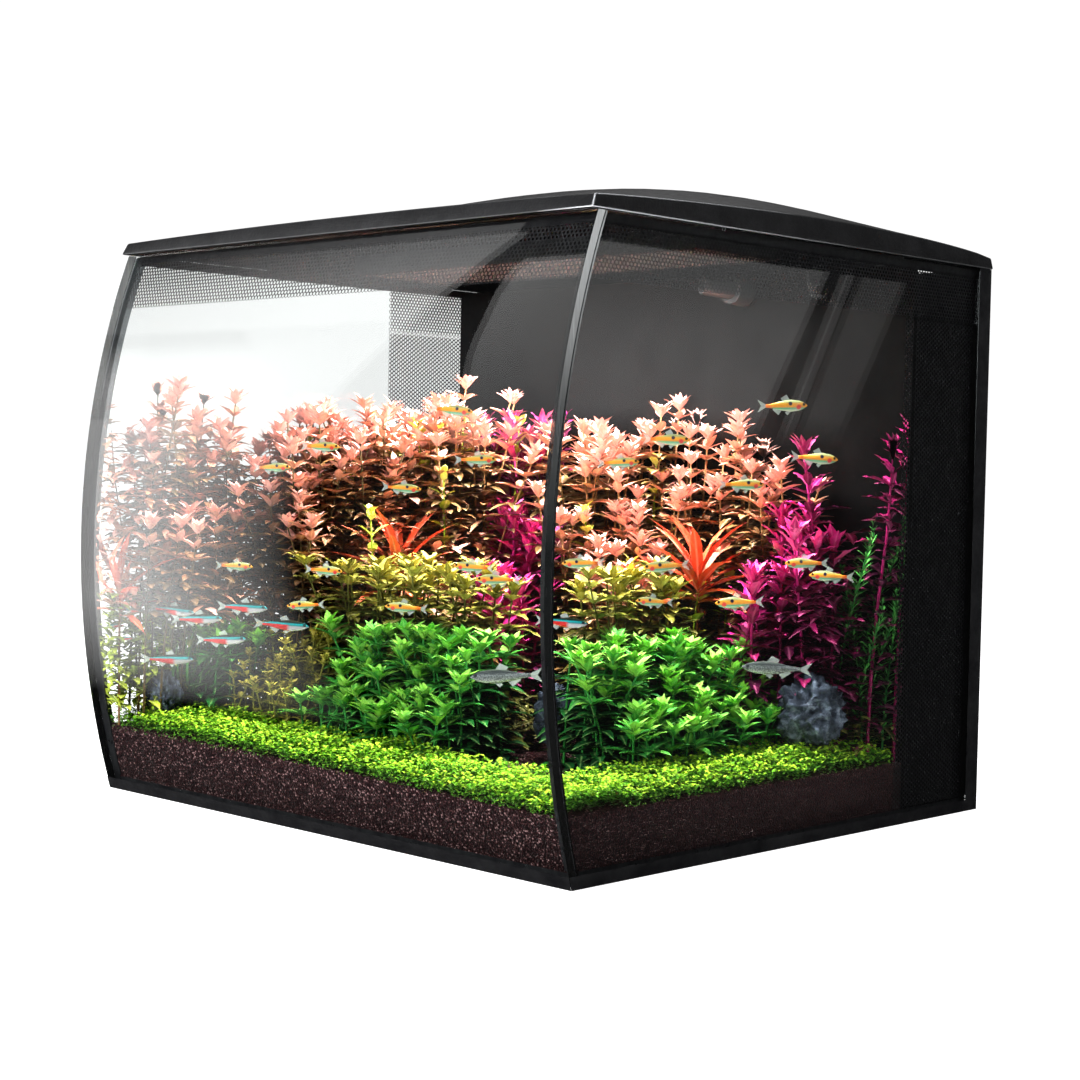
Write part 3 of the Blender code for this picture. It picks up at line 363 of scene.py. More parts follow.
def clear_glass(name, edge_axis, glow):
    """Clear float glass: mirror-like at a slant, its polished edges carrying painted light: near black low
    down and bright near the top, as the lamp would light them, with a painted glow of the given strength.
    """
    look = Look(name, IOR=1.5)
    facing = look.node("ShaderNodeLayerWeight", {"Blend": 0.5}).outputs["Facing"]
    share = look.spread(look.maths("POWER", facing, 5.0), 0.0, 1.0, 0.035, 1.0)
    clear = look.node("ShaderNodeBsdfTransparent", {"Color": (0.985, 0.993, 0.990)})
    smear = look.spread(look.noise(9.0, 4.0), 0.4, 0.75, 0.004, 0.03)
    gloss = look.node("ShaderNodeBsdfGlossy", {"Color": (1.0, 1.0, 1.0), "Roughness": smear})
    pane = look.node("ShaderNodeMixShader", {0: share, 1: clear.outputs[0], 2: gloss.outputs[0]})
    normal = look.node("ShaderNodeTexCoord").outputs["Normal"]
    across = look.maths("ABSOLUTE", look.axis(edge_axis, normal))
    height = look.axis("Z")
    grain = look.noise(700.0, 3.0, stretch=(1.0, 1.0, 0.05))
    streak = look.spread(grain, 0.3, 0.7, 0.75, 1.0)
    # Painted light on the edge faces: near black at the foot, bright near the top where the lamp would light
    # them
    painted_light_and_shade = look.ramp(
        height, (0.02, (0.003, 0.003, 0.003)), (0.17, (0.008, 0.009, 0.009)),
        (0.245, (0.060, 0.063, 0.063)), (0.325, (0.36, 0.37, 0.37)),
    )
    look.set("Base Color", look.mix(streak, (0.0, 0.0, 0.0), painted_light_and_shade))
    look.gloss(grain, 0.12, 0.3)
    # The painted light also glows from the edges, as strongly as glow says
    look.set("Emission Color", painted_light_and_shade)
    look.set("Emission Strength", glow)
    edge = look.maths("GREATER_THAN", across, 0.6)
    look.blend_surface(edge, pane, look.shader)
    return look.material


def print_ink(name):
    """Screen-printed black enamel, a little uneven."""
    look = Look(name, Specular_IOR_Level=0.35)
    look.colour(look.noise(90.0, 4.0), (0.3, (0.004, 0.004, 0.005)), (0.8, (0.013, 0.013, 0.014)))
    look.gloss(look.noise(300.0), 0.38, 0.6)
    look.bump(look.noise(2200.0, 2.0), 0.1, 0.00005)
    return look.material


def foam():
    """Open-cell filter foam, with painted shade in its pores."""
    look = Look("foam", Specular_IOR_Level=0.2)
    pores = look.cells(620.0)
    # Painted shade: the pores are near black and the struts between them lighter
    look.colour(pores, (0.15, (0.004, 0.005, 0.007)), (0.75, (0.050, 0.056, 0.068)))
    look.gloss(look.noise(300.0), 0.85, 1.0)
    look.bump(pores, 1.0, 0.0012)
    look.bump(look.noise(1500.0), 0.5, 0.0005)
    return look.material


def media_fabric():
    """White non-woven mesh bag with dark granules showing through."""
    look = Look("media_fabric", Specular_IOR_Level=0.25)
    weave = look.cells(900.0)
    granules = look.cells(330.0)
    cloth = look.ramp(weave, (0.2, (0.30, 0.30, 0.28)), (0.7, (0.66, 0.66, 0.62)))
    look.set("Base Color", look.mix(look.spread(granules, 0.1, 0.5, 0.55, 0.0), cloth, (0.06, 0.06, 0.06)))
    look.gloss(weave, 0.8, 1.0, 0.0, 0.8)
    look.bump(granules, 0.7, 0.0008)
    look.bump(weave, 0.5, 0.0003)
    return look.material


def ceramic():
    """Rough biscuit-fired ceramic."""
    look = Look("ceramic", Specular_IOR_Level=0.3)
    look.colour(look.noise(420.0, 5.0), (0.3, (0.42, 0.39, 0.34)), (0.75, (0.80, 0.77, 0.70)))
    look.gloss(look.noise(800.0), 0.6, 0.85)
    look.bump(look.cells(260.0), 0.9, 0.0014)
    look.bump(look.noise(1800.0), 0.5, 0.0002)
    return look.material


def steel():
    """Drawn stainless steel with fine lines."""
    look = Look("steel", Metallic=1.0)
    lines = look.noise(900.0, 3.0, stretch=(0.05, 1.0, 1.0))
    look.colour(lines, (0.3, (0.42, 0.42, 0.44)), (0.7, (0.70, 0.70, 0.72)))
    look.gloss(lines, 0.18, 0.38)
    look.bump(lines, 0.2, 0.00005)
    return look.material


def magnet_black():
    """Dense ferrite in a satin shell."""
    look = Look("magnet_black", Specular_IOR_Level=0.4)
    look.colour(look.noise(700.0, 4.0), (0.3, (0.020, 0.020, 0.023)), (0.75, (0.075, 0.075, 0.082)))
    look.gloss(look.noise(300.0), 0.35, 0.55)
    look.bump(look.noise(1600.0), 0.3, 0.0001)
    return look.material


def lamp_diffuser():
    """Frosted cover lit from behind by a row of light-emitting diodes."""
    look = Look("lamp_diffuser", Emission_Strength=0.008, Specular_IOR_Level=0.08)
    run = look.maths("SINE", look.maths("MULTIPLY", look.axis("X"), 2 * math.pi / 0.0125))
    glow = look.ramp(look.spread(run, -1.0, 1.0), (0.2, (0.62, 0.70, 0.80)), (0.9, (1.0, 1.0, 1.0)))
    look.set("Base Color", look.mix(look.noise(500.0), (0.030, 0.032, 0.034), (0.050, 0.052, 0.054)))
    look.set("Emission Color", glow)
    look.gloss(look.noise(700.0), 0.55, 0.75)
    look.bump(look.cells(900.0), 0.3, 0.0002)
    return look.material


def circuit_board():
    """White-masked aluminium board dotted with small yellow diodes."""
    look = Look("circuit_board")
    cell = look.cells(80.0)
    mask = look.mix(look.noise(60.0), (0.66, 0.68, 0.68), (0.84, 0.86, 0.86))
    diode = look.spread(cell, 0.14, 0.18, 1.0, 0.0)
    look.set("Base Color", look.mix(diode, mask, (0.80, 0.62, 0.16)))
    look.gloss(look.noise(350.0), 0.3, 0.5)
    look.bump(diode, 0.6, 0.0005)
    return look.material


def gravel():
    """Fine plant soil: dark maroon-brown grains with pale pinkish flecks, painted shade near black in the
    gaps between them, and more painted shade towards the floor.
    """
    look = Look("gravel", Specular_IOR_Level=0.3)
    grain = look.cells(900.0)
    tone = look.cells(900.0, "Color")
    value = look.axis("X", tone)
    body = look.ramp(
        value, (0.0, (0.010, 0.003, 0.004)), (0.60, (0.038, 0.012, 0.014)),
        (0.84, (0.075, 0.030, 0.030)), (0.93, (0.26, 0.15, 0.15)),
    )
    # Painted shade: the gaps between the grains are near black
    between = look.spread(grain, 0.30, 0.62, 0.0, 0.9)
    lit = look.mix(between, body, (0.004, 0.002, 0.002))
    # Painted shade: darker towards the floor glass, below 0.036 m
    painted_depth_shade = look.spread(look.axis("Z"), FLOOR_GLASS, 0.036, 0.55, 1.0)
    look.set("Base Color", look.mix(painted_depth_shade, (0.004, 0.002, 0.002), lit))
    look.gloss(value, 0.6, 0.95, 0.0, 1.0)
    look.bump(look.maths("SUBTRACT", 1.0, grain), 0.9, 0.0009)
    return look.material


def rock():
    """Blue-grey stone with pale ridges and dark clefts."""
    look = Look("rock", Specular_IOR_Level=0.35)
    coarse = look.noise(70.0, 8.0, 0.65)
    veins = look.noise(240.0, 6.0, 0.7, stretch=(1.0, 1.0, 2.6))
    body = look.ramp(
        coarse, (0.36, (0.008, 0.010, 0.015)), (0.50, (0.035, 0.045, 0.065)),
        (0.60, (0.12, 0.15, 0.20)), (0.74, (0.42, 0.47, 0.55)),
    )
    look.set("Base Color", look.mix(look.spread(veins, 0.52, 0.68, 0.0, 0.75), body, (0.022, 0.028, 0.036)))
    look.gloss(veins, 0.55, 0.9)
    look.bump(coarse, 0.8, 0.003)
    look.bump(veins, 0.7, 0.001)
    return look.material


def leaf(name, stops, rib=(0.55, 0.60, 0.30), rib_share=0.35, foot_shade=0.45, gloss=0.40):
    """Leaf skin: tint from young to old, a pale midrib, painted shade towards the foot, mottling and fine
    veins.
    """
    look = Look(name, Specular_IOR_Level=0.42)
    mark = look.node("ShaderNodeAttribute", attribute_name="leaf").outputs["Vector"]
    tint = look.axis("X", mark)
    along = look.axis("Y", mark)
    across = look.axis("Z", mark)
    mottle = look.noise(420.0, 3.0)
    base = look.ramp(look.maths("ADD", tint, look.spread(mottle, 0.3, 0.7, -0.10, 0.10)), *stops)
    base = look.mix(look.spread(across, 0.0, 0.30, rib_share, 0.0), base, rib)
    # Painted shade: each leaf darkens towards its foot by the foot_shade share
    painted_light_and_shade = look.spread(along, 0.0, 0.65, 1.0 - foot_shade, 1.0)
    painted_foot_shade = look.node("ShaderNodeCombineXYZ", {0: painted_light_and_shade, 1: painted_light_and_shade, 2: painted_light_and_shade}).outputs[0]
    look.set("Base Color", look.mix(1.0, base, painted_foot_shade, "MULTIPLY"))
    look.gloss(mottle, gloss - 0.07, gloss + 0.14)
    lengthwise = look.maths("MULTIPLY", along, 44.0)
    veins = look.maths("SINE", look.maths("ADD", lengthwise, look.maths("MULTIPLY", across, -7.0)))
    look.bump(veins, 0.22, 0.0002)
    look.bump(mottle, 0.25, 0.0003)
    return look.material


LEAF_COLOURS = {
    "green_leaf": dict(stops=(
        (0.0, (0.004, 0.026, 0.008)), (0.35, (0.014, 0.130, 0.022)),
        (0.7, (0.055, 0.360, 0.045)), (1.0, (0.330, 0.700, 0.090)),
    ), rib=(0.42, 0.75, 0.22)),
    "lime_leaf": dict(stops=(
        (0.0, (0.024, 0.030, 0.006)), (0.3, (0.030, 0.120, 0.008)),
        (0.6, (0.100, 0.370, 0.012)), (1.0, (0.480, 0.740, 0.040)),
    ), rib_share=0.1, foot_shade=0.35),
    "olive_leaf": dict(stops=(
        (0.0, (0.016, 0.016, 0.005)), (0.4, (0.105, 0.110, 0.014)),
        (0.75, (0.340, 0.300, 0.035)), (1.0, (0.640, 0.530, 0.110)),
    ), rib=(0.70, 0.62, 0.25)),
    "salmon_leaf": dict(stops=(
        (0.0, (0.060, 0.040, 0.012)), (0.35, (0.250, 0.120, 0.040)),
        (0.62, (0.520, 0.210, 0.130)), (1.0, (0.860, 0.430, 0.380)),
    ), rib=(0.85, 0.62, 0.45), rib_share=0.3),
    "red_leaf": dict(stops=(
        (0.0, (0.150, 0.070, 0.020)), (0.45, (0.480, 0.050, 0.018)),
        (0.75, (0.780, 0.095, 0.030)), (1.0, (0.900, 0.360, 0.240)),
    ), rib=(0.92, 0.55, 0.45)),
    "magenta_leaf": dict(stops=(
        (0.0, (0.030, 0.003, 0.016)), (0.4, (0.170, 0.006, 0.050)),
        (0.75, (0.520, 0.012, 0.170)), (1.0, (0.820, 0.110, 0.330)),
    ), rib=(0.86, 0.20, 0.42)),
    "yellow_leaf": dict(stops=(
        (0.0, (0.060, 0.090, 0.008)), (0.4, (0.220, 0.300, 0.016)),
        (0.75, (0.520, 0.620, 0.050)), (1.0, (0.800, 0.820, 0.240)),
    ), rib=(0.85, 0.85, 0.35)),
}

PLAIN_LOOKS = {
    "black_silicone": black_silicone,
    "hood_plastic": hood_plastic,
    "chamber_plastic": chamber_plastic,
    "pump_plastic": pump_plastic,
    "nozzle_plastic": nozzle_plastic,
    "foam": foam,
    "media_fabric": media_fabric,
    "ceramic": ceramic,
    "steel": steel,
    "magnet_black": magnet_black,
    "rubber": lambda: rubber("rubber", (0.010, 0.010, 0.010), 0.8),
    "hose_rubber": lambda: rubber("hose_rubber", (0.030, 0.030, 0.031), 0.55),
    "lamp_diffuser": lamp_diffuser,
    "circuit_board": circuit_board,
    "gravel": gravel,
    "rock": rock,
}
LOOKS = {slot: make() for slot, make in PLAIN_LOOKS.items()}
LOOKS.update({slot: leaf(slot, **colours) for slot, colours in LEAF_COLOURS.items()})
INK = print_ink("printed_ink")


def dress_frame():
    """Gives each CAD node its finish, and shades its curved faces smoothly."""
    # The front pane's edges glow with their painted light at strength 0.15; the other panes' edges don't glow
    front = clear_glass("front_glass", "X", 0.15)
    side = clear_glass("side_glass", "Y", 0.0)
    rear = clear_glass("flat_glass", "Z", 0.0)
    panes = {
        "front_curved_glass": front, "left_side_glass": side, "right_side_glass": side,
        "rear_glass": rear, "bottom_glass": rear,
    }
    for part in frame["record"]["subparts"]:
        node = NODES[part["node"]]
        finish = panes.get(part["node"]) or LOOKS[part["material_slot"]]
        node.data.materials.clear()
        node.data.materials.append(finish)
        custom = node.data.attributes.get("custom_normal")
        if custom:
            node.data.attributes.remove(custom)
        for face in node.data.polygons:
            face.use_smooth = True
        weld = node.modifiers.new("Weld", "WELD")
        weld.merge_threshold = 0.000001
        split = node.modifiers.new("Split", "EDGE_SPLIT")
        split.split_angle = math.radians(PANE_CREASE if part["node"] in panes else CREASE)


# ---------------------------------------------------------------- meshes


def linked(name, data):
    """A new object in the scene."""
    made = bpy.data.objects.new(name, data)
    bpy.context.scene.collection.objects.link(made)
    return made


def piece(name, points, faces, finish, body=TANK, marks=None, smooth=True):
    """A new mesh object that rides on a body, with its finish and, on a plant, its leaf marks."""
    mesh = bpy.data.meshes.new(name)
    mesh.from_pydata([tuple(p) for p in points], [], faces)
    mesh.validate()
    if marks is not None:
        stored = mesh.attributes.new("leaf", "FLOAT_VECTOR", "POINT")
        stored.data.foreach_set("vector", np.asarray(marks, np.float32).ravel())
    mesh.polygons.foreach_set("use_smooth", [smooth] * len(mesh.polygons))
    made = linked(name, mesh)
    mesh.materials.append(finish)
    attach(made, body)
    return made


# ---------------------------------------------------------------- the print on the panes


def hole_cell(u, v, wide, tall, radius):
    """The six quads round one hexagonal hole: its cell's corners joined to the hole's corners."""
    outer = [(0, 2 / 3), (0.5, 1 / 3), (0.5, -1 / 3), (0, -2 / 3), (-0.5, -1 / 3), (-0.5, 1 / 3)]
    angles = [math.radians(90 - 60 * i) for i in range(6)]
    ring = [(u + wide * a, v + tall * b) for a, b in outer]
    hole = [(u + radius * math.cos(t), v + radius * math.sin(t)) for t in angles]
    quads = [(i, (i + 1) % 6, 6 + (i + 1) % 6, 6 + i) for i in range(6)]
    return ring + hole, quads


def everywhere(u, v):
    """Lets every hole be made."""
    return True


def honeycomb(low_u, high_u, low_v, high_v, radius_at, allowed=everywhere):
    """Staggered rows of holes over a rectangle, along u: flat points, faces and how far up they reach."""
    points, faces = [], []
    rows = int((high_v - low_v) / HOLE_ROW)
    columns = int((high_u - low_u) / HOLE_PITCH)
    pitch = (high_u - low_u) / columns
    for j in range(rows):
        v = low_v + HOLE_ROW * (j + 2 / 3)
        odd = j % 2
        for i in range(columns - odd):
            u = low_u + pitch * (i + 0.5 + odd / 2)
            if not allowed(u, v):
                continue
            ring, quads = hole_cell(u, v, pitch, HOLE_ROW, radius_at(v))
            start = len(points)
            points += ring
            faces += [tuple(start + k for k in quad) for quad in quads]
    return points, faces, low_v + HOLE_ROW * rows


def flat_strip(points, faces, corners):
    """Adds one band of quads through pairs of corners."""
    start = len(points)
    points += [corner for pair in corners for corner in pair]
    firsts = range(start, start + 2 * len(corners) - 2, 2)
    faces += [(a, a + 2, a + 3, a + 1) for a in firsts]


def top_band_radius(v):
    """The holes grow a little from the top of the band to its lower edge, so the band darkens towards the
    top: painted shade under the hood.
    """
    share = (GLASS_TOP - BAND_SOLID - v) / (GLASS_TOP - BAND_SOLID - BAND_LOW)
    return HOLE_RADIUS * (0.80 + 0.20 * min(1.0, max(0.0, share)))


def edge_strip(points, faces, low_u, high_u, low_v, high_v):
    """Adds a solid strip along one edge of a honeycomb."""
    flat_strip(points, faces, [((low_u, low_v), (low_u, high_v)), ((high_u, low_v), (high_u, high_v))])


def make_top_print():
    """The band round the top: honeycomb under a solid strip, but only the strip on the left pane's front."""
    top = GLASS_TOP - BAND_SOLID
    x_low, x_high = LEFT_WALL + PRINT_MARGIN, RIGHT_WALL - PRINT_MARGIN
    front_y = lambda z: float(front_wall(z)) + PRINT_GAP
    y_high = REAR_WALL - PRINT_MARGIN
    y_low = front_y(GLASS_TOP) + 0.001
    clear_of_front = lambda u, v: u > front_y(v) + HOLE_PITCH * 0.6
    for name, place, low_u, high_u, start_u, allowed in (
        ("top_print_front", lambda u, v: (u, front_y(v), v), x_low, x_high, x_low, everywhere),
        ("top_print_rear", lambda u, v: (u, REAR_WALL - PRINT_GAP, v), x_low, x_high, x_low, everywhere),
        (
            "top_print_left", lambda u, v: (LEFT_WALL + PRINT_GAP, u, v),
            REAR_BAND_LEFT, y_high, y_low, everywhere,
        ),
        (
            "top_print_right", lambda u, v: (RIGHT_WALL - PRINT_GAP, u, v),
            front_y(BAND_LOW) - 0.001, y_high, y_low, clear_of_front,
        ),
    ):
        points, faces, reached = honeycomb(low_u, high_u, BAND_LOW, top, top_band_radius, allowed)
        edge_strip(points, faces, start_u, high_u, reached - HOLE_ROW / 3, PRINT_TOP)
        piece(name, [place(u, v) for u, v in points], faces, INK, smooth=False)


def make_rear_print():
    """The upright bands that hide the filter chamber on the side panes, their holes in upright columns."""
    end = REAR_WALL - 0.004
    for name, x, start in (
        ("rear_print_left", LEFT_WALL + PRINT_GAP * 2, REAR_BAND_LEFT),
        ("rear_print_right", RIGHT_WALL - PRINT_GAP * 2, REAR_BAND_RIGHT),
    ):
        points, faces, reached = honeycomb(BASE_BAND, BAND_LOW, start, end, lambda v: HOLE_RADIUS * 0.98)
        edge_strip(points, faces, BASE_BAND, BAND_LOW, reached - HOLE_ROW / 3, REAR_WALL - PRINT_MARGIN)
        piece(name, [(x, v, u) for u, v in points], faces, INK, smooth=False)


def heights_between(low, high, steps):
    """Evenly spaced heights, both ends included."""
    return [low + (high - low) * i / steps for i in range(steps + 1)]


def make_base_print():
    """The black on the panes' outer faces.

    It runs round their foot, up the side panes' rear edges and up the left end face of the front pane.
    """
    foot = heights_between(BASE_LOW, BASE_BAND, 6)
    x_low, x_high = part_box("left_side_glass")[0].x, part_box("right_side_glass")[1].x
    end_x = x_low - PRINT_GAP
    points, faces = [], []

    def add(corners):
        flat_strip(points, faces, corners)

    add([((x_low, front_face(z) - PRINT_GAP, z), (x_high, front_face(z) - PRINT_GAP, z)) for z in foot])
    for z_low, z_high, steps, start in (
        (BASE_BAND, BAND_LOW, 24, lambda z: front_wall(z) - END_STRIP),
        (BAND_LOW, GLASS_TOP, 6, lambda z: front_face(z) + ARC_MARGIN),
    ):
        rise = heights_between(z_low, z_high, steps)
        add([((end_x, start(z), z), (end_x, front_wall(z) + FRONT_LAP, z)) for z in rise])
    rear_y = REAR_WALL - PRINT_GAP
    add([((x_low, rear_y, z), (x_high, rear_y, z)) for z in (FLOOR_GLASS, BASE_BAND)])
    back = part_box("right_side_glass")[1].y
    for x in (end_x, x_high + PRINT_GAP):
        add([((x, front_face(z) + ARC_MARGIN, z), (x, back, z)) for z in foot])
        add([((x, REAR_WALL - REAR_EDGE, z), (x, back, z)) for z in (BASE_BAND, GLASS_TOP)])
    piece("base_print", points, faces, INK, smooth=False)


def make_rear_film():
    """The black film inside the rear pane and over its top edge, which keeps the filter chamber dark."""
    x_low, x_high = LEFT_WALL + PRINT_MARGIN, RIGHT_WALL - PRINT_MARGIN / 2
    y = REAR_WALL - PRINT_GAP * 2
    above = GLASS_TOP + FILM_LIFT
    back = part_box("rear_glass")[1].y - PRINT_MARGIN / 2
    rows = ((y, FLOOR_GLASS + PRINT_MARGIN), (y, above), (back, above))
    points, faces = [], []
    flat_strip(points, faces, [((x_low, place, z), (x_high, place, z)) for place, z in rows])
    piece("rear_film", points, faces, INK, smooth=False)


# ---------------------------------------------------------------- gravel and rocks


def gravel_surface(columns, rows, near, far):
    """Points and faces of the rough top of the gravel, row by row from the front."""
    x_low, x_high = LEFT_WALL + 0.0006, RIGHT_WALL - 0.0006
    points = []
    for j in range(rows + 1):
        for i in range(columns + 1):
            x = x_low + (x_high - x_low) * i / columns
            y = near + (far - near) * j / rows
            lumps = noise.noise(Vector((x, y, 0.0)) * 150) * 0.0010
            grains = noise.noise(Vector((x, y, 3.0)) * 500) * 0.0008
            points.append((x, y, ground(x, y) + (lumps + grains)))
    across = columns + 1
    corners = [j * across + i for j in range(rows) for i in range(columns)]
    return points, [(a, a + 1, a + across + 1, a + across) for a in corners]


def gravel_rim(columns, rows):
    """The points round the edge of the gravel's top, in order."""
    across = columns + 1
    front = list(range(across))
    right = [j * across + columns for j in range(1, rows + 1)]
    back = list(range(rows * across + columns - 1, rows * across - 1, -1))
    left = [j * across for j in range(rows - 1, 0, -1)]
    return front + right + back + left


def make_gravel():
    """The gravel with a rough grainy surface, settled against the panes down to the floor."""
    columns, rows, levels = 150, 120, 8
    front_gap = 0.0008
    foot = FLOOR_GLASS + 0.0003
    near = float(front_wall(0.038)) + front_gap
    points, faces = gravel_surface(columns, rows, near, PARTITION_FACE - 0.0004)
    rim = gravel_rim(columns, rows)
    last = rim
    for k in range(1, levels + 1):
        ring = []
        for index in rim:
            x, y, z = points[index]
            level = z + (foot - z) * k / levels
            at_pane = float(front_wall(level)) + front_gap
            y = max(y, at_pane) if y > near + 0.0001 else at_pane
            ring.append(len(points))
            points.append((x, y, level))
        faces += zip(last, ring, ring[1:] + ring[:1], last[1:] + last[:1])
        last = ring
    faces.append(tuple(last))
    made = piece("gravel", points, faces, LOOKS["gravel"])
    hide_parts("gravel_bed")


def make_rock(node, seed):
    """A craggy stone in the space of its CAD rock."""
    low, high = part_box(node)
    middle, reach = (low + high) / 2, (high - low) / 2
    drawing = bmesh.new()
    bmesh.ops.create_icosphere(drawing, subdivisions=5, radius=1.0)
    shift = Vector((seed, seed * 0.7, 0.0))
    for vertex in drawing.verts:
        direction = vertex.co.normalized()
        slabs = noise.multi_fractal(direction * 1.6 + shift, 0.8, 2.2, 5)
        ridges = abs(noise.noise(direction * 3.2 + shift)) + 0.5 * abs(noise.noise(direction * 8.0 + shift))
        radius = 0.70 + 0.22 * slabs - 0.38 * ridges
        vertex.co = direction * min(1.0, max(0.35, radius))
        vertex.co.z = max(vertex.co.z, -0.72)
    for vertex in drawing.verts:
        vertex.co = middle + Vector((vertex.co.x * reach.x, vertex.co.y * reach.y, vertex.co.z * reach.z))
        vertex.co.z = max(vertex.co.z, low.z - 0.003)
    points = [tuple(v.co) for v in drawing.verts]
    faces = [tuple(v.index for v in f.verts) for f in drawing.faces]
    drawing.free()
    made = piece(node + "_stone", points, faces, LOOKS["rock"])
    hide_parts(node)


# ---------------------------------------------------------------- plants

OUTLINES = {
    "lance": lambda t: np.sin(np.pi * t**0.80),
    "oval": lambda t: np.sin(np.pi * t**0.92) ** 0.62,
    "strap": lambda t: np.minimum(1.0, np.minimum(5.0 * t, 3.2 * (1.0 - t))),
    "lobed": lambda t: np.sin(np.pi * t**0.75) ** 0.55 * (0.86 + 0.14 * np.cos(t * 22.0)),
    "needle": lambda t: np.sin(np.pi * t) ** 0.4,
}


def unit(vectors):
    """The vectors at length 1."""
    return vectors / np.maximum(np.linalg.norm(vectors, axis=-1, keepdims=True), 1e-9)


def splayed(turn, lift):
    """Which way leaves point and their upper sides face, from their turns about the stem and their lifts."""
    outward = np.stack([np.cos(turn), np.sin(turn), np.zeros(len(turn))], axis=1)
    along = outward * np.cos(lift)[:, None] + UPWARD * np.sin(lift)[:, None]
    up = UPWARD * np.cos(lift)[:, None] - outward * np.sin(lift)[:, None]
    return along, up


def leaning(x, y, lean, share, height):
    """Places along a stem that leans further and further over towards its tip."""
    return np.stack([x + lean[0] * share**2, y + lean[1] * share**2, height], axis=1)


class Foliage:
    """Leaves and stems gathered into one mesh.

    Each point keeps its tint, its share of the way along the leaf and its distance from the midrib, which
    the leaf material reads.
    """

    def __init__(self, seed):
        self.rng = np.random.default_rng(seed)
        self.points, self.marks, self.faces = [], [], []
        self.size = 0

    def add(self, points, marks, faces):
        """Adds copies of a small mesh. Points and marks are (copies, corners, 3); faces index one copy."""
        copies, corners = points.shape[:2]
        self.points.append(points.reshape(-1, 3))
        self.marks.append(marks.reshape(-1, 3))
        for face in faces:
            self.faces.append(np.array(face)[None, :] + (self.size + corners * np.arange(copies))[:, None])
        self.size += copies * corners

    def leaves(self, foot, along, up, length, width, tint, outline, droop, fold, ripple, rows):
        """A leaf at each foot. It points along, its upper side faces up, and it bends down to its tip."""
        count = len(foot)
        along = unit(np.asarray(along, float))
        side = unit(np.cross(along, up))
        up = np.cross(side, along)
        length = np.broadcast_to(np.asarray(length, float), count)[:, None]
        width = np.broadcast_to(np.asarray(width, float), count)[:, None]
        droop = np.broadcast_to(np.asarray(droop, float), count)[:, None]
        tint = np.broadcast_to(np.asarray(tint, float), count)

        def spine(share):
            return foot + along * length * (share - 0.25 * droop * share**2) - up * length * droop * share**2

        points = np.empty((count, 3 * rows + 2, 3))
        marks = np.zeros_like(points)
        marks[:, :, 0] = tint[:, None]
        points[:, 0] = foot
        points[:, -1] = spine(1.0)
        marks[:, -1, 1] = 1.0
        phase = self.rng.uniform(0, 2 * math.pi, (count, 1))
        for i in range(rows):
            share = (i + 1) / (rows + 1)
            half = width / 2 * OUTLINES[outline](share)
            wave = ripple * width * np.sin(phase + share * 17.0)
            points[:, 1 + 3 * i] = spine(share) - side * half + up * (half * fold + wave)
            points[:, 2 + 3 * i] = spine(share)
            points[:, 3 + 3 * i] = spine(share) + side * half + up * (half * fold - wave)
            marks[:, 1 + 3 * i : 4 + 3 * i, 1] = share
            marks[:, [1 + 3 * i, 3 + 3 * i], 2] = 1.0
        faces = [(0, 2, 1), (0, 3, 2)]
        for i in range(rows - 1):
            a = 1 + 3 * i
            faces += [(a, a + 1, a + 4, a + 3), (a + 1, a + 2, a + 5, a + 4)]
        a = 3 * rows - 2
        faces += [(a, a + 1, a + 3), (a + 1, a + 2, a + 3)]
        self.add(points, marks, faces)

    def stem(self, path, radius, tint, sides=5):
        """A thin tube along a path, narrowing to its tip."""
        path = np.asarray(path, float)
        ways = unit(np.gradient(path, axis=0))
        side = unit(np.cross(ways, (0.3, 0.9, 0.1)))
        other = np.cross(ways, side)
        turns = 2 * math.pi * np.arange(sides) / sides
        radii = radius * np.linspace(1.0, 0.6, len(path))
        ring = side[:, None] * np.cos(turns)[None, :, None] + other[:, None] * np.sin(turns)[None, :, None]
        points = (path[:, None] + ring * radii[:, None, None]).reshape(1, -1, 3)
        marks = np.zeros_like(points)
        marks[..., 0] = tint
        marks[..., 1] = 0.6
        marks[..., 2] = 0.6
        faces = []
        for i in range(len(path) - 1):
            for k in range(sides):
                a, b = i * sides + k, i * sides + (k + 1) % sides
                faces.append((a, b, b + sides, a + sides))
        faces.append(tuple(range((len(path) - 1) * sides, len(path) * sides)))
        self.add(points, marks, faces)

    def finish(self, name, finish, *nodes):
        """The piece itself, kept inside the panes and standing for its CAD nodes."""
        points = np.concatenate(self.points)
        points[:, 2] = np.clip(points[:, 2], FLOOR_GLASS + 0.002, GLASS_TOP - 0.02)
        points[:, 0] = np.clip(points[:, 0], LEFT_WALL + LEAF_GAP, RIGHT_WALL - LEAF_GAP)
        points[:, 1] = np.clip(points[:, 1], front_wall(points[:, 2]) + LEAF_GAP, PARTITION_FACE - LEAF_GAP)
        faces = [tuple(face) for group in self.faces for face in group.tolist()]
        made = piece(name, points, faces, LOOKS[finish], marks=np.concatenate(self.marks))
        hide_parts(*nodes)
        return made


def scatter(rng, low, high, spacing):
    """Points over a rectangle on a jittered triangular grid."""
    spots = []
    rows = max(1, int(round((high[1] - low[1]) / (spacing * 0.87))))
    columns = max(1, int(round((high[0] - low[0]) / spacing)))
    for j in range(rows):
        for i in range(columns):
            u = (i + 0.5 + (0.25 if j % 2 else -0.25)) / columns
            v = (j + 0.5) / rows
            x = low[0] + (high[0] - low[0]) * u + rng.normal(0, spacing * 0.18)
            y = low[1] + (high[1] - low[1]) * v + rng.normal(0, spacing * 0.18)
            spots.append((x, y))
    return spots


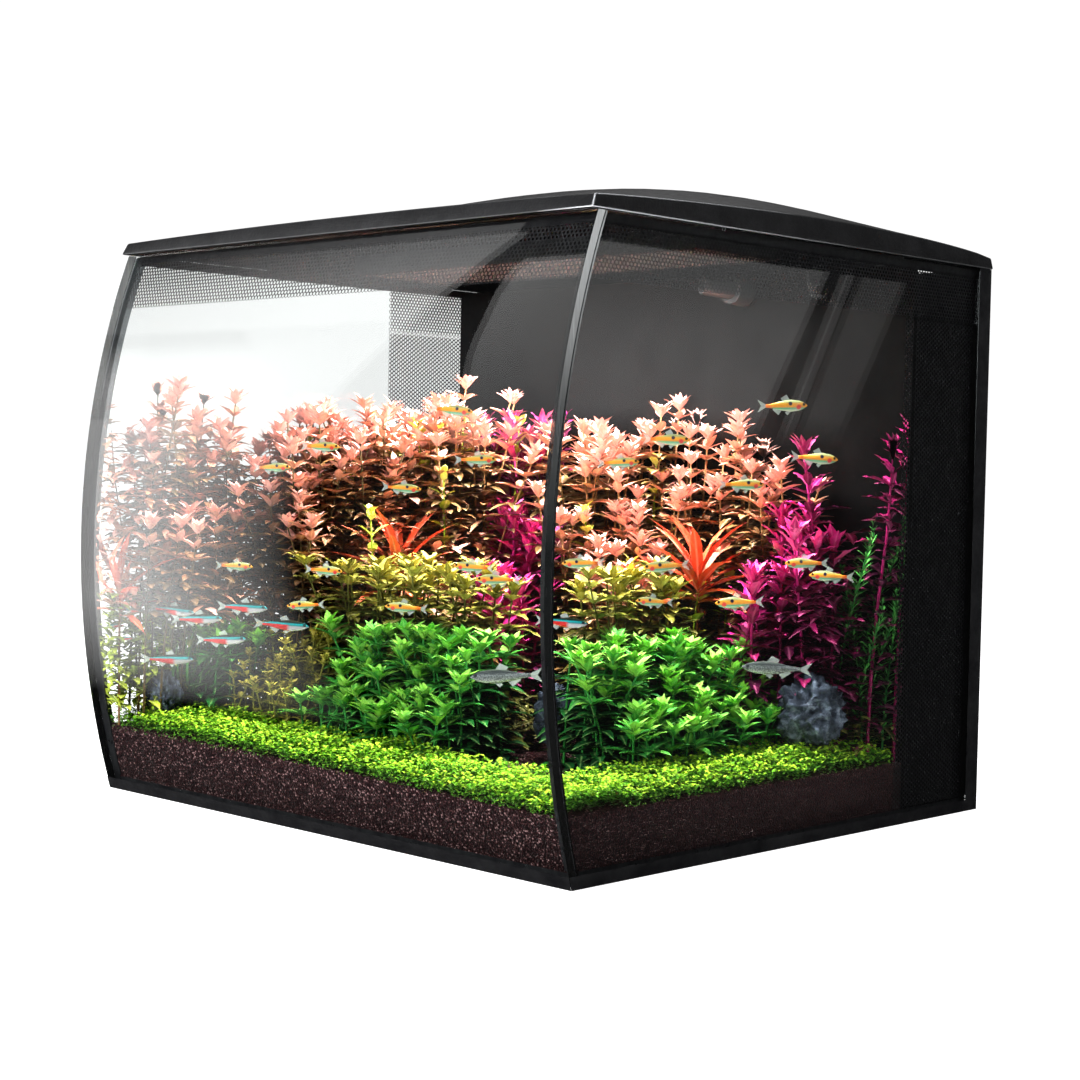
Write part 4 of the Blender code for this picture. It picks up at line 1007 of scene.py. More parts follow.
def whorled_stem(plants, x, y, top, habit):
    """One upright stem with whorls of leaves that close into a crown at its tip."""
    rng = plants.rng
    base = ground(x, y) - 0.002
    rise = top - base
    lean = rng.normal(0, habit["lean"], 2) * rise
    shares = np.linspace(0, 1, 5)
    plants.stem(leaning(x, y, lean, shares, base + rise * shares), habit["stem"], habit["stem_tint"])
    first = base + rise * habit["bare"]
    levels = np.arange(first, top - habit["gap"] * 0.5, habit["gap"])
    crown = top - np.array([0.30, 0.12, 0.0]) * habit["gap"]
    levels = np.concatenate([levels, crown])
    levels += rng.normal(0, habit["gap"] * 0.08, len(levels))
    each = habit["each"]
    z = np.repeat(levels, each)
    share = (z - base) / rise
    order = np.repeat(np.arange(len(levels)), each)
    turn = np.tile(np.arange(each) * 2 * math.pi / each, len(levels)) + order * math.pi / each
    turn += rng.uniform(0, 2 * math.pi) + rng.normal(0, 0.22, len(z))
    to_top = np.clip((top - z) / habit["crown"], 0, 1)
    closing = (habit["crown_lift"] - habit["lift"]) * (1 - to_top) ** 1.5
    lift = habit["lift"] + closing + rng.normal(0, 0.13, len(z))
    size = habit["length"] * (0.55 + 0.45 * to_top**0.5) * rng.uniform(0.78, 1.18, len(z))
    along, up = splayed(turn, lift)
    # Leaves darken down the stem: partly the plant's own colour, pale at the tip and brownish lower down,
    # partly painted shade deep in the stand
    low_tint, high_tint = habit["tints"]
    tint = low_tint + (high_tint - low_tint) * (1 - to_top) ** habit["fade"]
    tint = np.clip(tint + rng.normal(0, habit["tint_spread"], len(z)), 0, 1)
    plants.leaves(
        leaning(x, y, lean, share, z), along, up, size, size * habit["slim"], tint, habit["outline"],
        habit["droop"], habit["fold"], habit["ripple"], habit["rows"],
    )


SALMON = dict(
    lean=0.10, stem=0.0009, stem_tint=0.35, bare=0.12, gap=0.0086, each=5, crown=0.040, lift=0.08,
    crown_lift=0.95, length=0.0190, slim=0.38, tints=(0.08, 0.98), fade=1.0, tint_spread=0.10,
    outline="lance", droop=0.16, fold=0.34, ripple=0.03, rows=3,
)
MAGENTA = dict(
    lean=0.06, stem=0.0012, stem_tint=0.5, bare=0.12, gap=0.0085, each=3, crown=0.060, lift=0.25,
    crown_lift=1.15, length=0.0270, slim=0.30, tints=(0.15, 0.78), fade=0.7, tint_spread=0.17,
    outline="lance", droop=0.22, fold=0.40, ripple=0.10, rows=7,
)
BUSH = dict(
    lean=0.16, stem=0.0009, stem_tint=0.4, bare=0.05, gap=0.0080, each=5, crown=0.026, lift=0.12,
    crown_lift=0.95, length=0.0190, slim=0.36, tints=(0.06, 0.92), fade=0.9, tint_spread=0.15,
    outline="lance", droop=0.24, fold=0.30, ripple=0.02, rows=4,
)
BARE_SALMON = dict(SALMON, bare=0.58, stem_tint=0.0)
DARK_MAGENTA = dict(MAGENTA, tints=(0.0, 0.52))
YELLOW = dict(
    SALMON, each=2, gap=0.0105, length=0.0150, slim=0.50, outline="oval", tints=(0.30, 0.90), lift=0.45,
    crown_lift=1.0, lean=0.06,
)
BROWN = dict(BUSH, length=0.0105, gap=0.0060, tints=(0.15, 0.80), slim=0.46, each=4, tint_spread=0.16)
OLIVE = dict(
    lean=0.12, stem=0.0009, stem_tint=0.2, bare=0.10, gap=0.0090, each=5, crown=0.032, lift=0.20,
    crown_lift=0.95, length=0.0215, slim=0.36, tints=(0.18, 0.78), fade=0.8, tint_spread=0.15,
    outline="lobed", droop=0.30, fold=0.30, ripple=0.06, rows=6,
)


def rise_to(start, end, value):
    """0 before start, 1 after end, smooth between."""
    share = min(1.0, max(0.0, (value - start) / (end - start)))
    return share * share * (3 - 2 * share)


def footprint(node, spread=0.0):
    """A CAD clump's footprint, grown all round, as low and high corners."""
    low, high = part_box(node)
    return (low.x - spread, low.y - spread), (high.x + spread, high.y + spread)


def column(x, y):
    """How far to the viewer's right a place lies: the places of one column hide each other."""
    return x + y


def make_stems(name, nodes, slot, habit, spacing, patches, top_at, seed, columns=ALL_COLUMNS):
    """A stand of whorled stems over patches of the bed, kept to some columns. Their tops follow top_at."""
    plants = Foliage(seed)
    rng = plants.rng
    for low, high in patches:
        for x, y in scatter(rng, low, high, spacing):
            base = ground(x, y)
            top = base + (top_at(x, y) - base) * rng.uniform(0.90, 1.03)
            if top > base + 0.012 and columns[0] <= column(x, y) <= columns[1]:
                whorled_stem(plants, x, y, top, habit)
    return plants.finish(name, slot, *nodes)


def depth(x, y):
    """How far back a place lies along the diagonal that the tank is looked at."""
    return (y - x) / math.sqrt(2)


def right_rise(x, y):
    """The salmon plants climb again towards the right, in front of the filter's wall."""
    return 0.058 * rise_to(0.09, 0.20, column(x, y))


def salmon_top(x, y):
    """The salmon plants climb in steps from the viewer's side to the back."""
    wave = 0.012 * noise.noise(Vector((x * 28, y * 28, 5.0)))
    return 0.142 + 0.098 * rise_to(-0.012, 0.095, depth(x, y)) + wave


def make_rosette(name, node, slot, seed, count, length, width, heads=1, tints=(0.4, 0.95)):
    """Strap leaves that fan up and out from one or more hearts."""
    plants = Foliage(seed)
    rng = plants.rng
    low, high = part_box(node)
    for k in range(heads):
        x = low.x + (high.x - low.x) * (0.5 if heads == 1 else (k + 0.5) / heads)
        y = (low.y + high.y) / 2 + rng.normal(0, 0.003)
        base = ground(x, y)
        heart = max(base + 0.004, high.z - length * 0.82 - rng.uniform(0, 0.01))
        plants.stem([(x, y, base), (x, y, (base + heart) / 2), (x, y, heart)], 0.0012, 0.02)
        turn = np.arange(count) * 2.4 + rng.normal(0, 0.2, count)
        lift = np.linspace(0.15, 1.45, count) + rng.normal(0, 0.10, count)
        along, up = splayed(turn, lift)
        foot = np.array([x, y, heart]) + UPWARD * np.linspace(-0.012, 0.004, count)[:, None]
        size = length * rng.uniform(0.7, 1.05, count)
        tint = np.clip(rng.uniform(*tints, count), 0, 1)
        plants.leaves(foot, along, up, size, width, tint, "strap", 0.34, 0.45, 0.05, 7)
    return plants.finish(name, slot, node)


def make_grass(name, node, seed):
    """A tuft of thin blades."""
    plants = Foliage(seed)
    rng = plants.rng
    low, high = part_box(node)
    count = 110
    x = rng.uniform(low.x, high.x, count)
    y = rng.uniform(low.y, high.y, count)
    base = np.array([ground(a, b) for a, b in zip(x, y)])
    lean = rng.normal(0, 0.34, (count, 2))
    along = unit(np.stack([lean[:, 0] + 0.1, lean[:, 1], np.ones(count)], axis=1))
    up = np.stack([-along[:, 2], 0.1 * np.ones(count), along[:, 0]], axis=1)
    size = (high.z - base) * rng.uniform(0.45, 1.02, count)
    foot = np.stack([x, y, base], axis=1)
    tint = rng.uniform(0.25, 0.8, count)
    plants.leaves(foot, along, up, size, 0.0021, tint, "strap", 0.30, 0.35, 0.0, 5)
    return plants.finish(name, "green_leaf", node)


def make_fern(name, node, seed):
    """Feathery dark green fronds."""
    plants = Foliage(seed)
    rng = plants.rng
    low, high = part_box(node)
    for x, y in scatter(rng, (low.x, low.y), (high.x, high.y), 0.011):
        base = ground(x, y)
        rise = (high.z - base) * rng.uniform(0.45, 1.0)
        lean = rng.normal(0, 0.14, 2) * rise
        shares = np.linspace(0, 1, 6)
        plants.stem(leaning(x, y, lean, shares, base + rise * shares), 0.0007, 0.3)
        levels = np.repeat(np.linspace(0.10, 1.0, int(rise / 0.0042)), 6)
        count = len(levels)
        turn = np.tile(np.arange(6) * math.pi / 3, count // 6) + rng.normal(0, 0.3, count)
        lift = 0.35 + 0.5 * levels + rng.normal(0, 0.12, count)
        along, up = splayed(turn, lift)
        foot = leaning(x, y, lean, levels, base + rise * levels)
        size = 0.0125 * (1.05 - 0.6 * levels**3) * rng.uniform(0.8, 1.15, count)
        tint = rng.uniform(0.20, 0.62, count)
        plants.leaves(foot, along, up, size, 0.0013, tint, "needle", 0.12, 0.2, 0.0, 2)
    return plants.finish(name, "green_leaf", node)


def carpet_leaves(plants, spots, low_tint, high_tint, size, tall):
    """Tiny leaves in tufts of four at each spot, darker lower in the tuft as painted shade."""
    rng = plants.rng
    each = 4
    spots = np.repeat(spots, each, axis=0)
    count = len(spots)
    turn = rng.uniform(0, 2 * math.pi, count)
    lift = rng.uniform(0.0, 0.9, count)
    along, up = splayed(turn, lift)
    drawn = [rng.normal(0, 0.0008, count), rng.normal(0, 0.0008, count), rng.uniform(0, tall, count)]
    spread = np.stack(drawn, axis=1)
    tint = low_tint + (high_tint - low_tint) * spread[:, 2] / tall + rng.normal(0, 0.16, count)
    lengths = rng.uniform(0.75, 1.2, count) * size
    plants.leaves(
        spots + spread, along, up, lengths, size * 0.62, np.clip(tint, 0, 1), "oval", 0.2, 0.25, 0.0, 1
    )


def make_carpet(name, nodes, seed, patches, to_glass):
    """A lawn of tiny leaves, swelling in from the pane, with a sparse fringe pressed against the glass;
    painted shade darkens its lower layers and the fringe further down.
    """
    plants = Foliage(seed)
    rng = plants.rng
    spots = []
    for low, high in patches:
        spots += [(x, y, ground(x, y)) for x, y in scatter(rng, low, high, CARPET_SPACING)]
    spots = np.array(spots)
    spots = spots[spots[:, 1] > front_wall(spots[:, 2]) + LEAF_GAP]
    swell = np.clip(to_glass(spots) / 0.014, 0, 1)
    lumps = np.array([0.75 + 0.5 * noise.noise(Vector((x, y, 0)) * 70) for x, y, _ in spots])
    # Painted shade: the lower layers get darker tints
    for share, tints in ((0.15, (0.05, 0.35)), (0.55, (0.25, 0.55)), (1.0, (0.50, 0.95))):
        layer = spots.copy()
        layer[:, 2] += CARPET_RISE * share * (0.30 + 0.70 * swell) * lumps
        carpet_leaves(plants, layer, *tints, 0.0033, 0.004)
    near = spots[to_glass(spots) < 0.006]
    for drop, keep, tint in FRINGE:
        fringe = near[rng.uniform(0, 1, len(near)) < keep].copy()
        fringe[:, 2] -= drop + rng.uniform(-0.0015, 0.0015, len(fringe))
        fringe[:, :2] = press_to_glass(fringe)
        carpet_leaves(plants, fringe, tint, tint + 0.2, 0.0023, 0.0015)
    return plants.finish(name, "lime_leaf", *nodes)


def press_to_glass(spots):
    """The spots' X and Y moved out to the nearer of the front and right panes."""
    front = front_wall(spots[:, 2]) + PRESSED
    to_front = spots[:, 1] - front
    to_right = RIGHT_WALL - spots[:, 0]
    moved = spots[:, :2].copy()
    nearer = to_front < to_right
    moved[nearer, 1] = front[nearer]
    moved[~nearer, 0] = RIGHT_WALL - PRESSED
    return moved


def in_front_planting(x, y):
    """Whether a place is among the lawn and low bushes near the viewer's side."""
    return depth(x, y) < -0.075 and x > -0.160 or y < -0.080 and x > -0.150


def make_understorey(
    name, slot, seed, patches, top_at, spacing, size, columns=ALL_COLUMNS, lowest=0.0, tints=(0.0, 0.35)
):
    """Leaves that fill the space under and between the stands, in some columns above the lowest height. Their
    default tints are dark: painted shade among the stands.
    """
    plants = Foliage(seed)
    rng = plants.rng
    spots = []
    for low, high in patches:
        for x, y in scatter(rng, low, high, spacing):
            levels = np.arange(max(lowest, ground(x, y) + 0.004), top_at(x, y), 0.0075)
            if columns[0] <= column(x, y) <= columns[1] and not in_front_planting(x, y):
                spots += [(x, y, z) for z in levels]
    spots = np.repeat(np.array(spots), 3, axis=0)
    count = len(spots)
    spots += rng.normal(0, 0.003, (count, 3))
    turn = rng.uniform(0, 2 * math.pi, count)
    lift = rng.normal(0.25, 0.3, count)
    along, up = splayed(turn, lift)
    lengths = size * rng.uniform(0.7, 1.2, count)
    # With the default tints these leaves are painted shade: dark leaves where the stands are in shade
    tint = rng.uniform(*tints, count)
    plants.leaves(spots, along, up, lengths, lengths * 0.4, tint, "oval", 0.25, 0.3, 0.02, 2)
    return plants.finish(name, slot)


def make_planting():
    """Every clump of plants and every stone."""
    for node, seed in (("left_rock", 3.0), ("middle_rock", 11.0), ("right_rock", 7.0)):
        make_rock(node, seed)
    front_y = lambda s: s[:, 1] - front_wall(s[:, 2])
    make_carpet("front_lawn", ["front_carpet"], 1, [((-0.197, -0.184), (0.197, -0.128))], front_y)
    make_carpet(
        "right_lawn", ["right_carpet"], 2, [((0.150, -0.128), (0.197, 0.118))], lambda s: RIGHT_WALL - s[:, 0]
    )
    make_bushes()
    make_grass("grass_blades", "grass_tuft", 7)
    make_rosette("left_red_straps", "left_red_plant", "red_leaf", 8, 14, 0.056, 0.0052, 1, (0.55, 1.0))
    make_rosette("front_red_straps", "front_red_plant", "red_leaf", 9, 26, 0.060, 0.0070, 1)
    make_rosette("right_red_straps", "right_red_plant", "red_leaf", 10, 26, 0.060, 0.0070, 1)
    make_tall_stands()
    make_magenta_stands()
    make_fern("fern_fronds", "right_fern", 18)
    # Dark olive leaves in the default tints: painted shade under the stands
    make_understorey(
        "dark_understorey", "olive_leaf", 19,
        [
            ((-0.196, -0.085), (0.060, 0.117)), ((0.060, -0.030), (0.110, 0.117)),
            ((0.110, 0.050), (0.196, 0.117)),
        ],
        lambda x, y: 0.070 + 0.075 * rise_to(0.02, 0.12, depth(x, y)), 0.0125, 0.013,
    )
    make_understorey(
        "corner_understorey", "salmon_leaf", 29,
        [((-0.197, -0.172), (-0.172, -0.098)), ((-0.1985, -0.197), (-0.182, -0.172))],
        lambda x, y: 0.180 + 0.050 * rise_to(-0.172, -0.194, x), 0.0088, 0.0145,
        lowest=0.122, tints=(0.35, 1.0),
    )
    make_understorey(
        "corner_low_leaves", "yellow_leaf", 30,
        [((-0.197, -0.172), (-0.178, -0.098)), ((-0.1985, -0.194), (-0.186, -0.172))],
        lambda x, y: 0.124, 0.0062, 0.0135, lowest=0.056, tints=(0.0, 0.8),
    )
    make_understorey(
        "salmon_understorey", "salmon_leaf", 26, [((-0.196, -0.050), (0.128, 0.117))],
        lambda x, y: salmon_top(x, y) - 0.026, 0.0120, 0.015, (-1.0, SALMON_END), tints=(0.1, 0.8),
    )
    make_understorey(
        "left_understorey", "salmon_leaf", 31, [((-0.196, -0.150), (-0.128, -0.050))],
        lambda x, y: salmon_top(x, y) - 0.022, 0.0120, 0.015, (-1.0, SALMON_END),
        lowest=0.112, tints=(0.1, 0.8),
    )
    make_understorey(
        "left_low_leaves", "green_leaf", 32, [((-0.196, -0.098), (-0.172, 0.010))],
        lambda x, y: 0.112, 0.0085, 0.0140, lowest=0.060, tints=(0.25, 0.9),
    )
    make_understorey(
        # Dark salmon leaves in the default tints: painted shade at the back
        "back_understorey", "salmon_leaf", 27, [((-0.100, 0.070), (0.128, 0.117))],
        lambda x, y: salmon_top(x, y) - 0.026 + right_rise(x, y), 0.0130, 0.014,
        (SALMON_START, MAGENTA_START),
    )
    # Dark magenta leaves in the default tints: painted shade among the magenta stems
    make_understorey(
        "magenta_understorey", "magenta_leaf", 28,
        [((-0.130, 0.020), (-0.010, 0.117)), ((0.120, 0.060), (0.176, 0.117))],
        lambda x, y: 0.060 + 0.110 * rise_to(0.0, 0.11, y), 0.0130, 0.018, (SALMON_END, 1.0),
    )


def make_bushes():
    """The green mounds and the brownish one, rounded up from their edges."""
    near = footprint("near_green_bush", 0.007)
    make_stems(
        "near_green_leaves", ["near_green_bush"], "green_leaf", BUSH, 0.0105, [near],
        lambda x, y: 0.066 + 0.044 * rise_to(near[0][1], near[1][1] - 0.01, y), 4,
    )
    side = footprint("right_green_bush", 0.007)
    back_tier = ((0.116, 0.040), (0.160, 0.070))
    make_stems(
        "right_green_leaves", ["right_green_bush"], "green_leaf", BUSH, 0.0105, [side, back_tier],
        lambda x, y: 0.066 + 0.044 * rise_to(side[1][0], side[0][0] + 0.01, x), 5,
    )
    left = footprint("left_green_bush", 0.004)
    make_stems(
        "left_green_leaves", ["left_green_bush"], "green_leaf", BUSH, 0.0100, [left],
        lambda x, y: 0.100, 3,
    )
    brown = footprint("brown_bush", 0.003)
    make_stems(
        "brown_leaves", ["brown_bush"], "olive_leaf", BROWN, 0.0095, [brown],
        lambda x, y: 0.072 + 0.034 * rise_to(brown[0][1], brown[1][1], y), 6,
    )
    olive = footprint("olive_plants", 0.003)
    make_stems("olive_leaves", ["olive_plants"], "olive_leaf", OLIVE, 0.0130, [olive], lambda x, y: 0.146, 11)
    olive = footprint("right_olive_plants", 0.004)
    make_stems(
        "right_olive_leaves", ["right_olive_plants"], "olive_leaf", OLIVE, 0.0125, [olive],
        lambda x, y: 0.148, 12,
    )


def make_tall_stands():
    """The salmon stems that fill the back and the left."""
    make_stems(
        "left_salmon_stems", ["left_stem_plants"], "salmon_leaf", BARE_SALMON, 0.0112,
        [footprint("left_stem_plants", 0.002)], salmon_top, 13, (-1.0, SALMON_END),
    )
    make_stems(
        "corner_salmon_stems", [], "salmon_leaf", BARE_SALMON, 0.0100,
        [((-0.197, -0.176), (-0.168, -0.100))],
        lambda x, y: 0.176 + 0.078 * rise_to(-0.170, -0.194, x), 20,
    )
    make_stems(
        "middle_salmon_stems", ["middle_stem_plants"], "salmon_leaf", SALMON, 0.0120,
        [footprint("middle_stem_plants", 0.004)], lambda x, y: salmon_top(x, y) + 0.018, 14,
        (-1.0, SALMON_END),
    )
    make_stems(
        "centre_salmon_stems", ["centre_stem_plants"], "salmon_leaf", SALMON, 0.0120,
        [
            footprint("centre_stem_plants", 0.0), ((-0.010, 0.010), (0.066, 0.040)),
            ((0.066, 0.088), (0.128, 0.117)),
        ],
        lambda x, y: salmon_top(x - 0.012, y) + 0.006 + right_rise(x, y), 15, (SALMON_START, MAGENTA_START),
    )
    make_stems(
        "yellow_stems", [], "yellow_leaf", YELLOW, 0.034,
        [((-0.180, -0.060), (-0.070, 0.070)), ((0.000, 0.040), (0.100, 0.112))],
        lambda x, y: salmon_top(x, y) + 0.004, 22,
    )


def make_magenta_stands():
    """The magenta stems, tall at the back and brighter and lower in front, either side of the near corner."""
    middle = (SALMON_END + 0.004, SALMON_START - 0.006)
    make_stems(
        "centre_magenta_stems", ["centre_magenta_plant"], "magenta_leaf", DARK_MAGENTA, 0.0150,
        [((-0.150, 0.066), (-0.050, 0.117))], lambda x, y: 0.235, 16, middle,
    )
    make_stems(
        "centre_bright_magenta", [], "magenta_leaf", MAGENTA, 0.0135,
        [((-0.090, 0.018), (-0.020, 0.062))], lambda x, y: 0.178, 23, middle,
    )
    make_stems(
        "centre_low_magenta", [], "magenta_leaf", MAGENTA, 0.0140,
        [((-0.070, -0.024), (0.004, 0.014))], lambda x, y: 0.138, 24,
        (SALMON_END - 0.016, SALMON_START - 0.010),
    )
    make_stems(
        "right_magenta_stems", ["right_magenta_plant"], "magenta_leaf", DARK_MAGENTA, 0.0150,
        [((0.122, 0.098), (0.166, 0.117)), ((0.182, 0.096), (0.192, 0.116))], lambda x, y: 0.243, 17,
        (MAGENTA_START, 1.0),
    )
    make_stems(
        "right_bright_magenta", [], "magenta_leaf", MAGENTA, 0.0135,
        [((0.136, 0.068), (0.170, 0.096))], lambda x, y: 0.178, 21, (0.210, 1.0),
    )
    make_stems(
        "right_low_magenta", [], "magenta_leaf", MAGENTA, 0.0135,
        [((0.122, 0.048), (0.152, 0.068))], lambda x, y: 0.146, 25,
    )


# ---------------------------------------------------------------- fish

def fish_points(length, tall):
    """Points, marks and faces of one fish with its nose towards +X.

    The marks are 0 on the body and 1 on a fin, the share of the way from nose to tail, and the height.
    """
    stations = np.linspace(0.0, 1.0, 11)
    shares, halves = (0, 0.05, 0.18, 0.40, 0.62, 0.85, 1.0), (0.10, 0.42, 0.80, 1.0, 0.78, 0.36, 0.26)
    profile = np.interp(stations, shares, halves)
    sides = 10
    points, marks, faces = [], [], []
    for s, p in zip(stations, profile):
        for k in range(sides):
            turn = 2 * math.pi * k / sides
            half = length * tall * p
            height = math.sin(turn)
            points.append(((0.5 - s) * length, math.cos(turn) * half * 0.52, height * half))
            marks.append((0.0, s, 0.5 + 0.5 * height * p))
    for i in range(len(stations) - 1):
        for k in range(sides):
            a, b = i * sides + k, i * sides + (k + 1) % sides
            faces.append((a, a + sides, b + sides, b))
    faces.append(tuple(range(sides)))
    faces.append(tuple(reversed(range((len(stations) - 1) * sides, len(stations) * sides))))
    fins = (
        ((1.0, 0.24), (1.20, 1.00), (1.12, 0.02), (1.0, 0.0)),
        ((1.0, 0.0), (1.12, -0.02), (1.20, -1.00), (1.0, -0.24)),
        ((0.42, 0.90), (0.50, 1.75), (0.64, 1.20), (0.60, 0.72)),
        ((0.62, -0.70), (0.70, -1.45), (0.84, -0.60), (0.82, -0.32)),
        ((0.40, -0.92), (0.48, -1.50), (0.54, -1.10), (0.50, -0.85)),
    )
    for fin in fins:
        start = len(points)
        for s, h in fin:
            points.append(((0.5 - s) * length, 0.0, h * length * tall))
            marks.append((1.0, min(s, 1.0), 0.5 + 0.25 * h))
        faces.append((start, start + 1, start + 2, start + 3))
    return np.array(points), np.array(marks), faces


def make_shoal(name, finish, tall, swimmers):
    """Fish of one kind. A swimmer is a place, the side its nose points to for the viewer, and a length."""
    shoal = Foliage(len(swimmers))
    across = np.array([math.cos(CAMERA_TURN), math.sin(CAMERA_TURN), 0.0])
    for index, (x, y, z, nose, length) in enumerate(swimmers):
        points, marks, faces = fish_points(length, tall)
        swerve = math.radians((index * 47) % 31 - 15)
        pitch = math.radians((index * 29) % 17 - 9) * 0.5
        ahead = across * nose
        side = np.array([-ahead[1], ahead[0], 0.0])
        ahead = ahead * math.cos(swerve) + side * math.sin(swerve)
        side = np.array([-ahead[1], ahead[0], 0.0])
        ahead = ahead * math.cos(pitch) + np.array([0, 0, math.sin(pitch)])
        above = np.cross(ahead, side)
        placed = np.array([x, y, z]) + points[:, :1] * ahead + points[:, 1:2] * side + points[:, 2:] * above
        shoal.add(placed[None], marks[None], faces)
    points = np.concatenate(shoal.points)
    faces = [tuple(face) for group in shoal.faces for face in group.tolist()]
    piece(name, points, faces, finish, marks=np.concatenate(shoal.marks))


def fish_look(name, *bands, rear=None, spot=None, gill=None, scales=0.0):
    """Fish skin: bands of colour from belly to back, with a rear patch, a dark spot and a gill flush."""
    look = Look(name, Specular_IOR_Level=0.6)
    mark = look.node("ShaderNodeAttribute", attribute_name="leaf").outputs["Vector"]
    fin = look.axis("X", mark)
    along = look.axis("Y", mark)
    height = look.axis("Z", mark)
    skin = look.ramp(height, *bands)
    if rear:
        start, top, colour = rear
        behind = look.spread(along, start, start + 0.08)
        below = look.spread(height, top + 0.03, top - 0.03)
        skin = look.mix(look.maths("MULTIPLY", behind, below), skin, colour)

    def apart(s, h):
        """Squared distance from a place on the flank."""
        ahead = look.maths("POWER", look.maths("SUBTRACT", along, s), 2.0)
        above = look.maths("MULTIPLY", look.maths("SUBTRACT", height, h), 0.3)
        return look.maths("ADD", ahead, look.maths("POWER", above, 2.0))

    for patch in (spot, gill):
        if patch:
            s, h, radius, colour = patch
            skin = look.mix(look.spread(apart(s, h), radius**2, (radius * 0.6) ** 2), skin, colour)
    skin = look.mix(look.spread(apart(0.09, 0.60), 0.0016, 0.0009), skin, (0.004, 0.004, 0.005))
    plates = look.cells(1500.0)
    skin = look.mix(look.maths("MULTIPLY", look.spread(plates, 0.2, 0.6), scales), skin, (0.02, 0.025, 0.03))
    look.set("Base Color", look.mix(fin, skin, (0.55, 0.62, 0.58)))
    look.gloss(plates, 0.22, 0.40, 0.0, 0.7)
    look.bump(plates, 0.25, 0.0001)
    clear = look.node("ShaderNodeBsdfTransparent", {"Color": (0.95, 0.97, 0.96)})
    sight = look.maths("MULTIPLY", fin, 0.55)
    look.blend_surface(sight, look.shader, clear)
    return look.material


def make_fish():
    """Three kinds of small fish in the open water in front of the plants."""
    neon = fish_look(
        "neon_skin", (0.18, (0.38, 0.36, 0.38)), (0.44, (0.30, 0.29, 0.31)), (0.53, (0.002, 0.120, 0.140)),
        (0.66, (0.004, 0.300, 0.320)), (0.76, (0.006, 0.012, 0.010)), (1.0, (0.016, 0.018, 0.006)),
        rear=(0.40, 0.56, (0.420, 0.002, 0.001)),
    )
    make_shoal("neon_fish", neon, 0.125, [
        (-0.156, -0.163, 0.117, 1, 0.0264), (-0.126, -0.165, 0.114, 1, 0.0264),
        (-0.080, -0.165, 0.124, 1, 0.0273), (-0.042, -0.165, 0.116, 1, 0.0273),
        (-0.101, -0.165, 0.103, 1, 0.0273), (-0.159, -0.163, 0.086, 1, 0.0273),
        (0.180, -0.159, 0.133, 1, 0.0229), (-0.189, -0.182, 0.117, -1, 0.0106),
        (-0.181, -0.178, 0.116, -1, 0.0106), (-0.191, -0.184, 0.106, -1, 0.0106),
        (-0.186, -0.180, 0.098, -1, 0.0106),
    ])
    dotted = fish_look(
        "dotted_skin", (0.14, (0.36, 0.42, 0.32)), (0.30, (0.05, 0.30, 0.17)), (0.42, (0.62, 0.22, 0.016)),
        (0.66, (0.66, 0.30, 0.030)), (0.78, (0.32, 0.34, 0.13)), (1.0, (0.16, 0.20, 0.12)),
        spot=(0.42, 0.66, 0.055, (0.003, 0.006, 0.040)), gill=(0.22, 0.38, 0.07, (0.52, 0.03, 0.03)),
        rear=(0.84, 0.90, (0.60, 0.12, 0.012)),
    )
    make_shoal("dotted_fish", dotted, 0.150, [
        (0.079, -0.145, 0.243, 1, 0.0209), (0.099, -0.145, 0.216, 1, 0.0194),
        (-0.028, -0.150, 0.222, 1, 0.0202), (0.042, -0.148, 0.199, 1, 0.0187),
        (0.094, -0.145, 0.157, -1, 0.0194), (0.113, -0.145, 0.151, -1, 0.0202),
        (-0.023, -0.150, 0.149, 1, 0.0194), (0.039, -0.145, 0.131, -1, 0.0202),
        (-0.067, -0.155, 0.209, 1, 0.0194), (-0.099, -0.158, 0.148, 1, 0.0187),
        (-0.035, -0.158, 0.128, -1, 0.0194), (0.178, 0.026, 0.251, 1, 0.0245),
        (0.178, -0.077, 0.229, 1, 0.0216), (0.178, 0.058, 0.221, 1, 0.0238),
        (0.176, -0.114, 0.216, 1, 0.0187), (0.178, -0.011, 0.205, 1, 0.0223),
        (0.176, -0.145, 0.163, -1, 0.0187), (0.178, -0.081, 0.160, -1, 0.0216),
        (0.180, 0.068, 0.151, -1, 0.0223), (0.178, 0.046, 0.159, -1, 0.0223),
        (0.178, -0.017, 0.138, -1, 0.023), (0.176, -0.087, 0.141, -1, 0.0173),
    ])
    striped = fish_look(
        "striped_skin", (0.2, (0.42, 0.44, 0.42)), (0.48, (0.16, 0.18, 0.18)), (0.56, (0.30, 0.33, 0.33)),
        (0.74, (0.05, 0.06, 0.06)), (1.0, (0.10, 0.12, 0.09)), scales=0.8,
    )
    make_shoal("striped_fish", striped, 0.120, [
        (0.120, -0.146, 0.099, -1, 0.034), (0.180, 0.015, 0.099, -1, 0.034),
    ])


# ---------------------------------------------------------------- floor, light and camera


def make_floor():
    """A plain floor that the camera sees as white and the glass doesn't mirror."""
    mesh = bpy.data.meshes.new("floor")
    reach = 30.0
    level = CAD_BOX[0][2] - 0.0004
    corners = [(x * reach, y * reach, level) for x, y in ((-1, -1), (1, -1), (1, 1), (-1, 1))]
    mesh.from_pydata(corners, [], [(0, 1, 2, 3)])
    floor = linked("floor", mesh)
    look = Look("floor", Roughness=0.9)
    look.set("Base Color", (0.86, 0.86, 0.86, 1.0))
    seen = look.node("ShaderNodeLightPath").outputs["Is Camera Ray"]
    glow = look.node("ShaderNodeEmission", {"Color": WHITE, "Strength": seen})
    both = look.node("ShaderNodeAddShader", {0: look.shader.outputs[0], 1: glow.outputs[0]})
    look.surface(both.outputs[0])
    mesh.materials.append(look.material)
    floor.visible_glossy = False


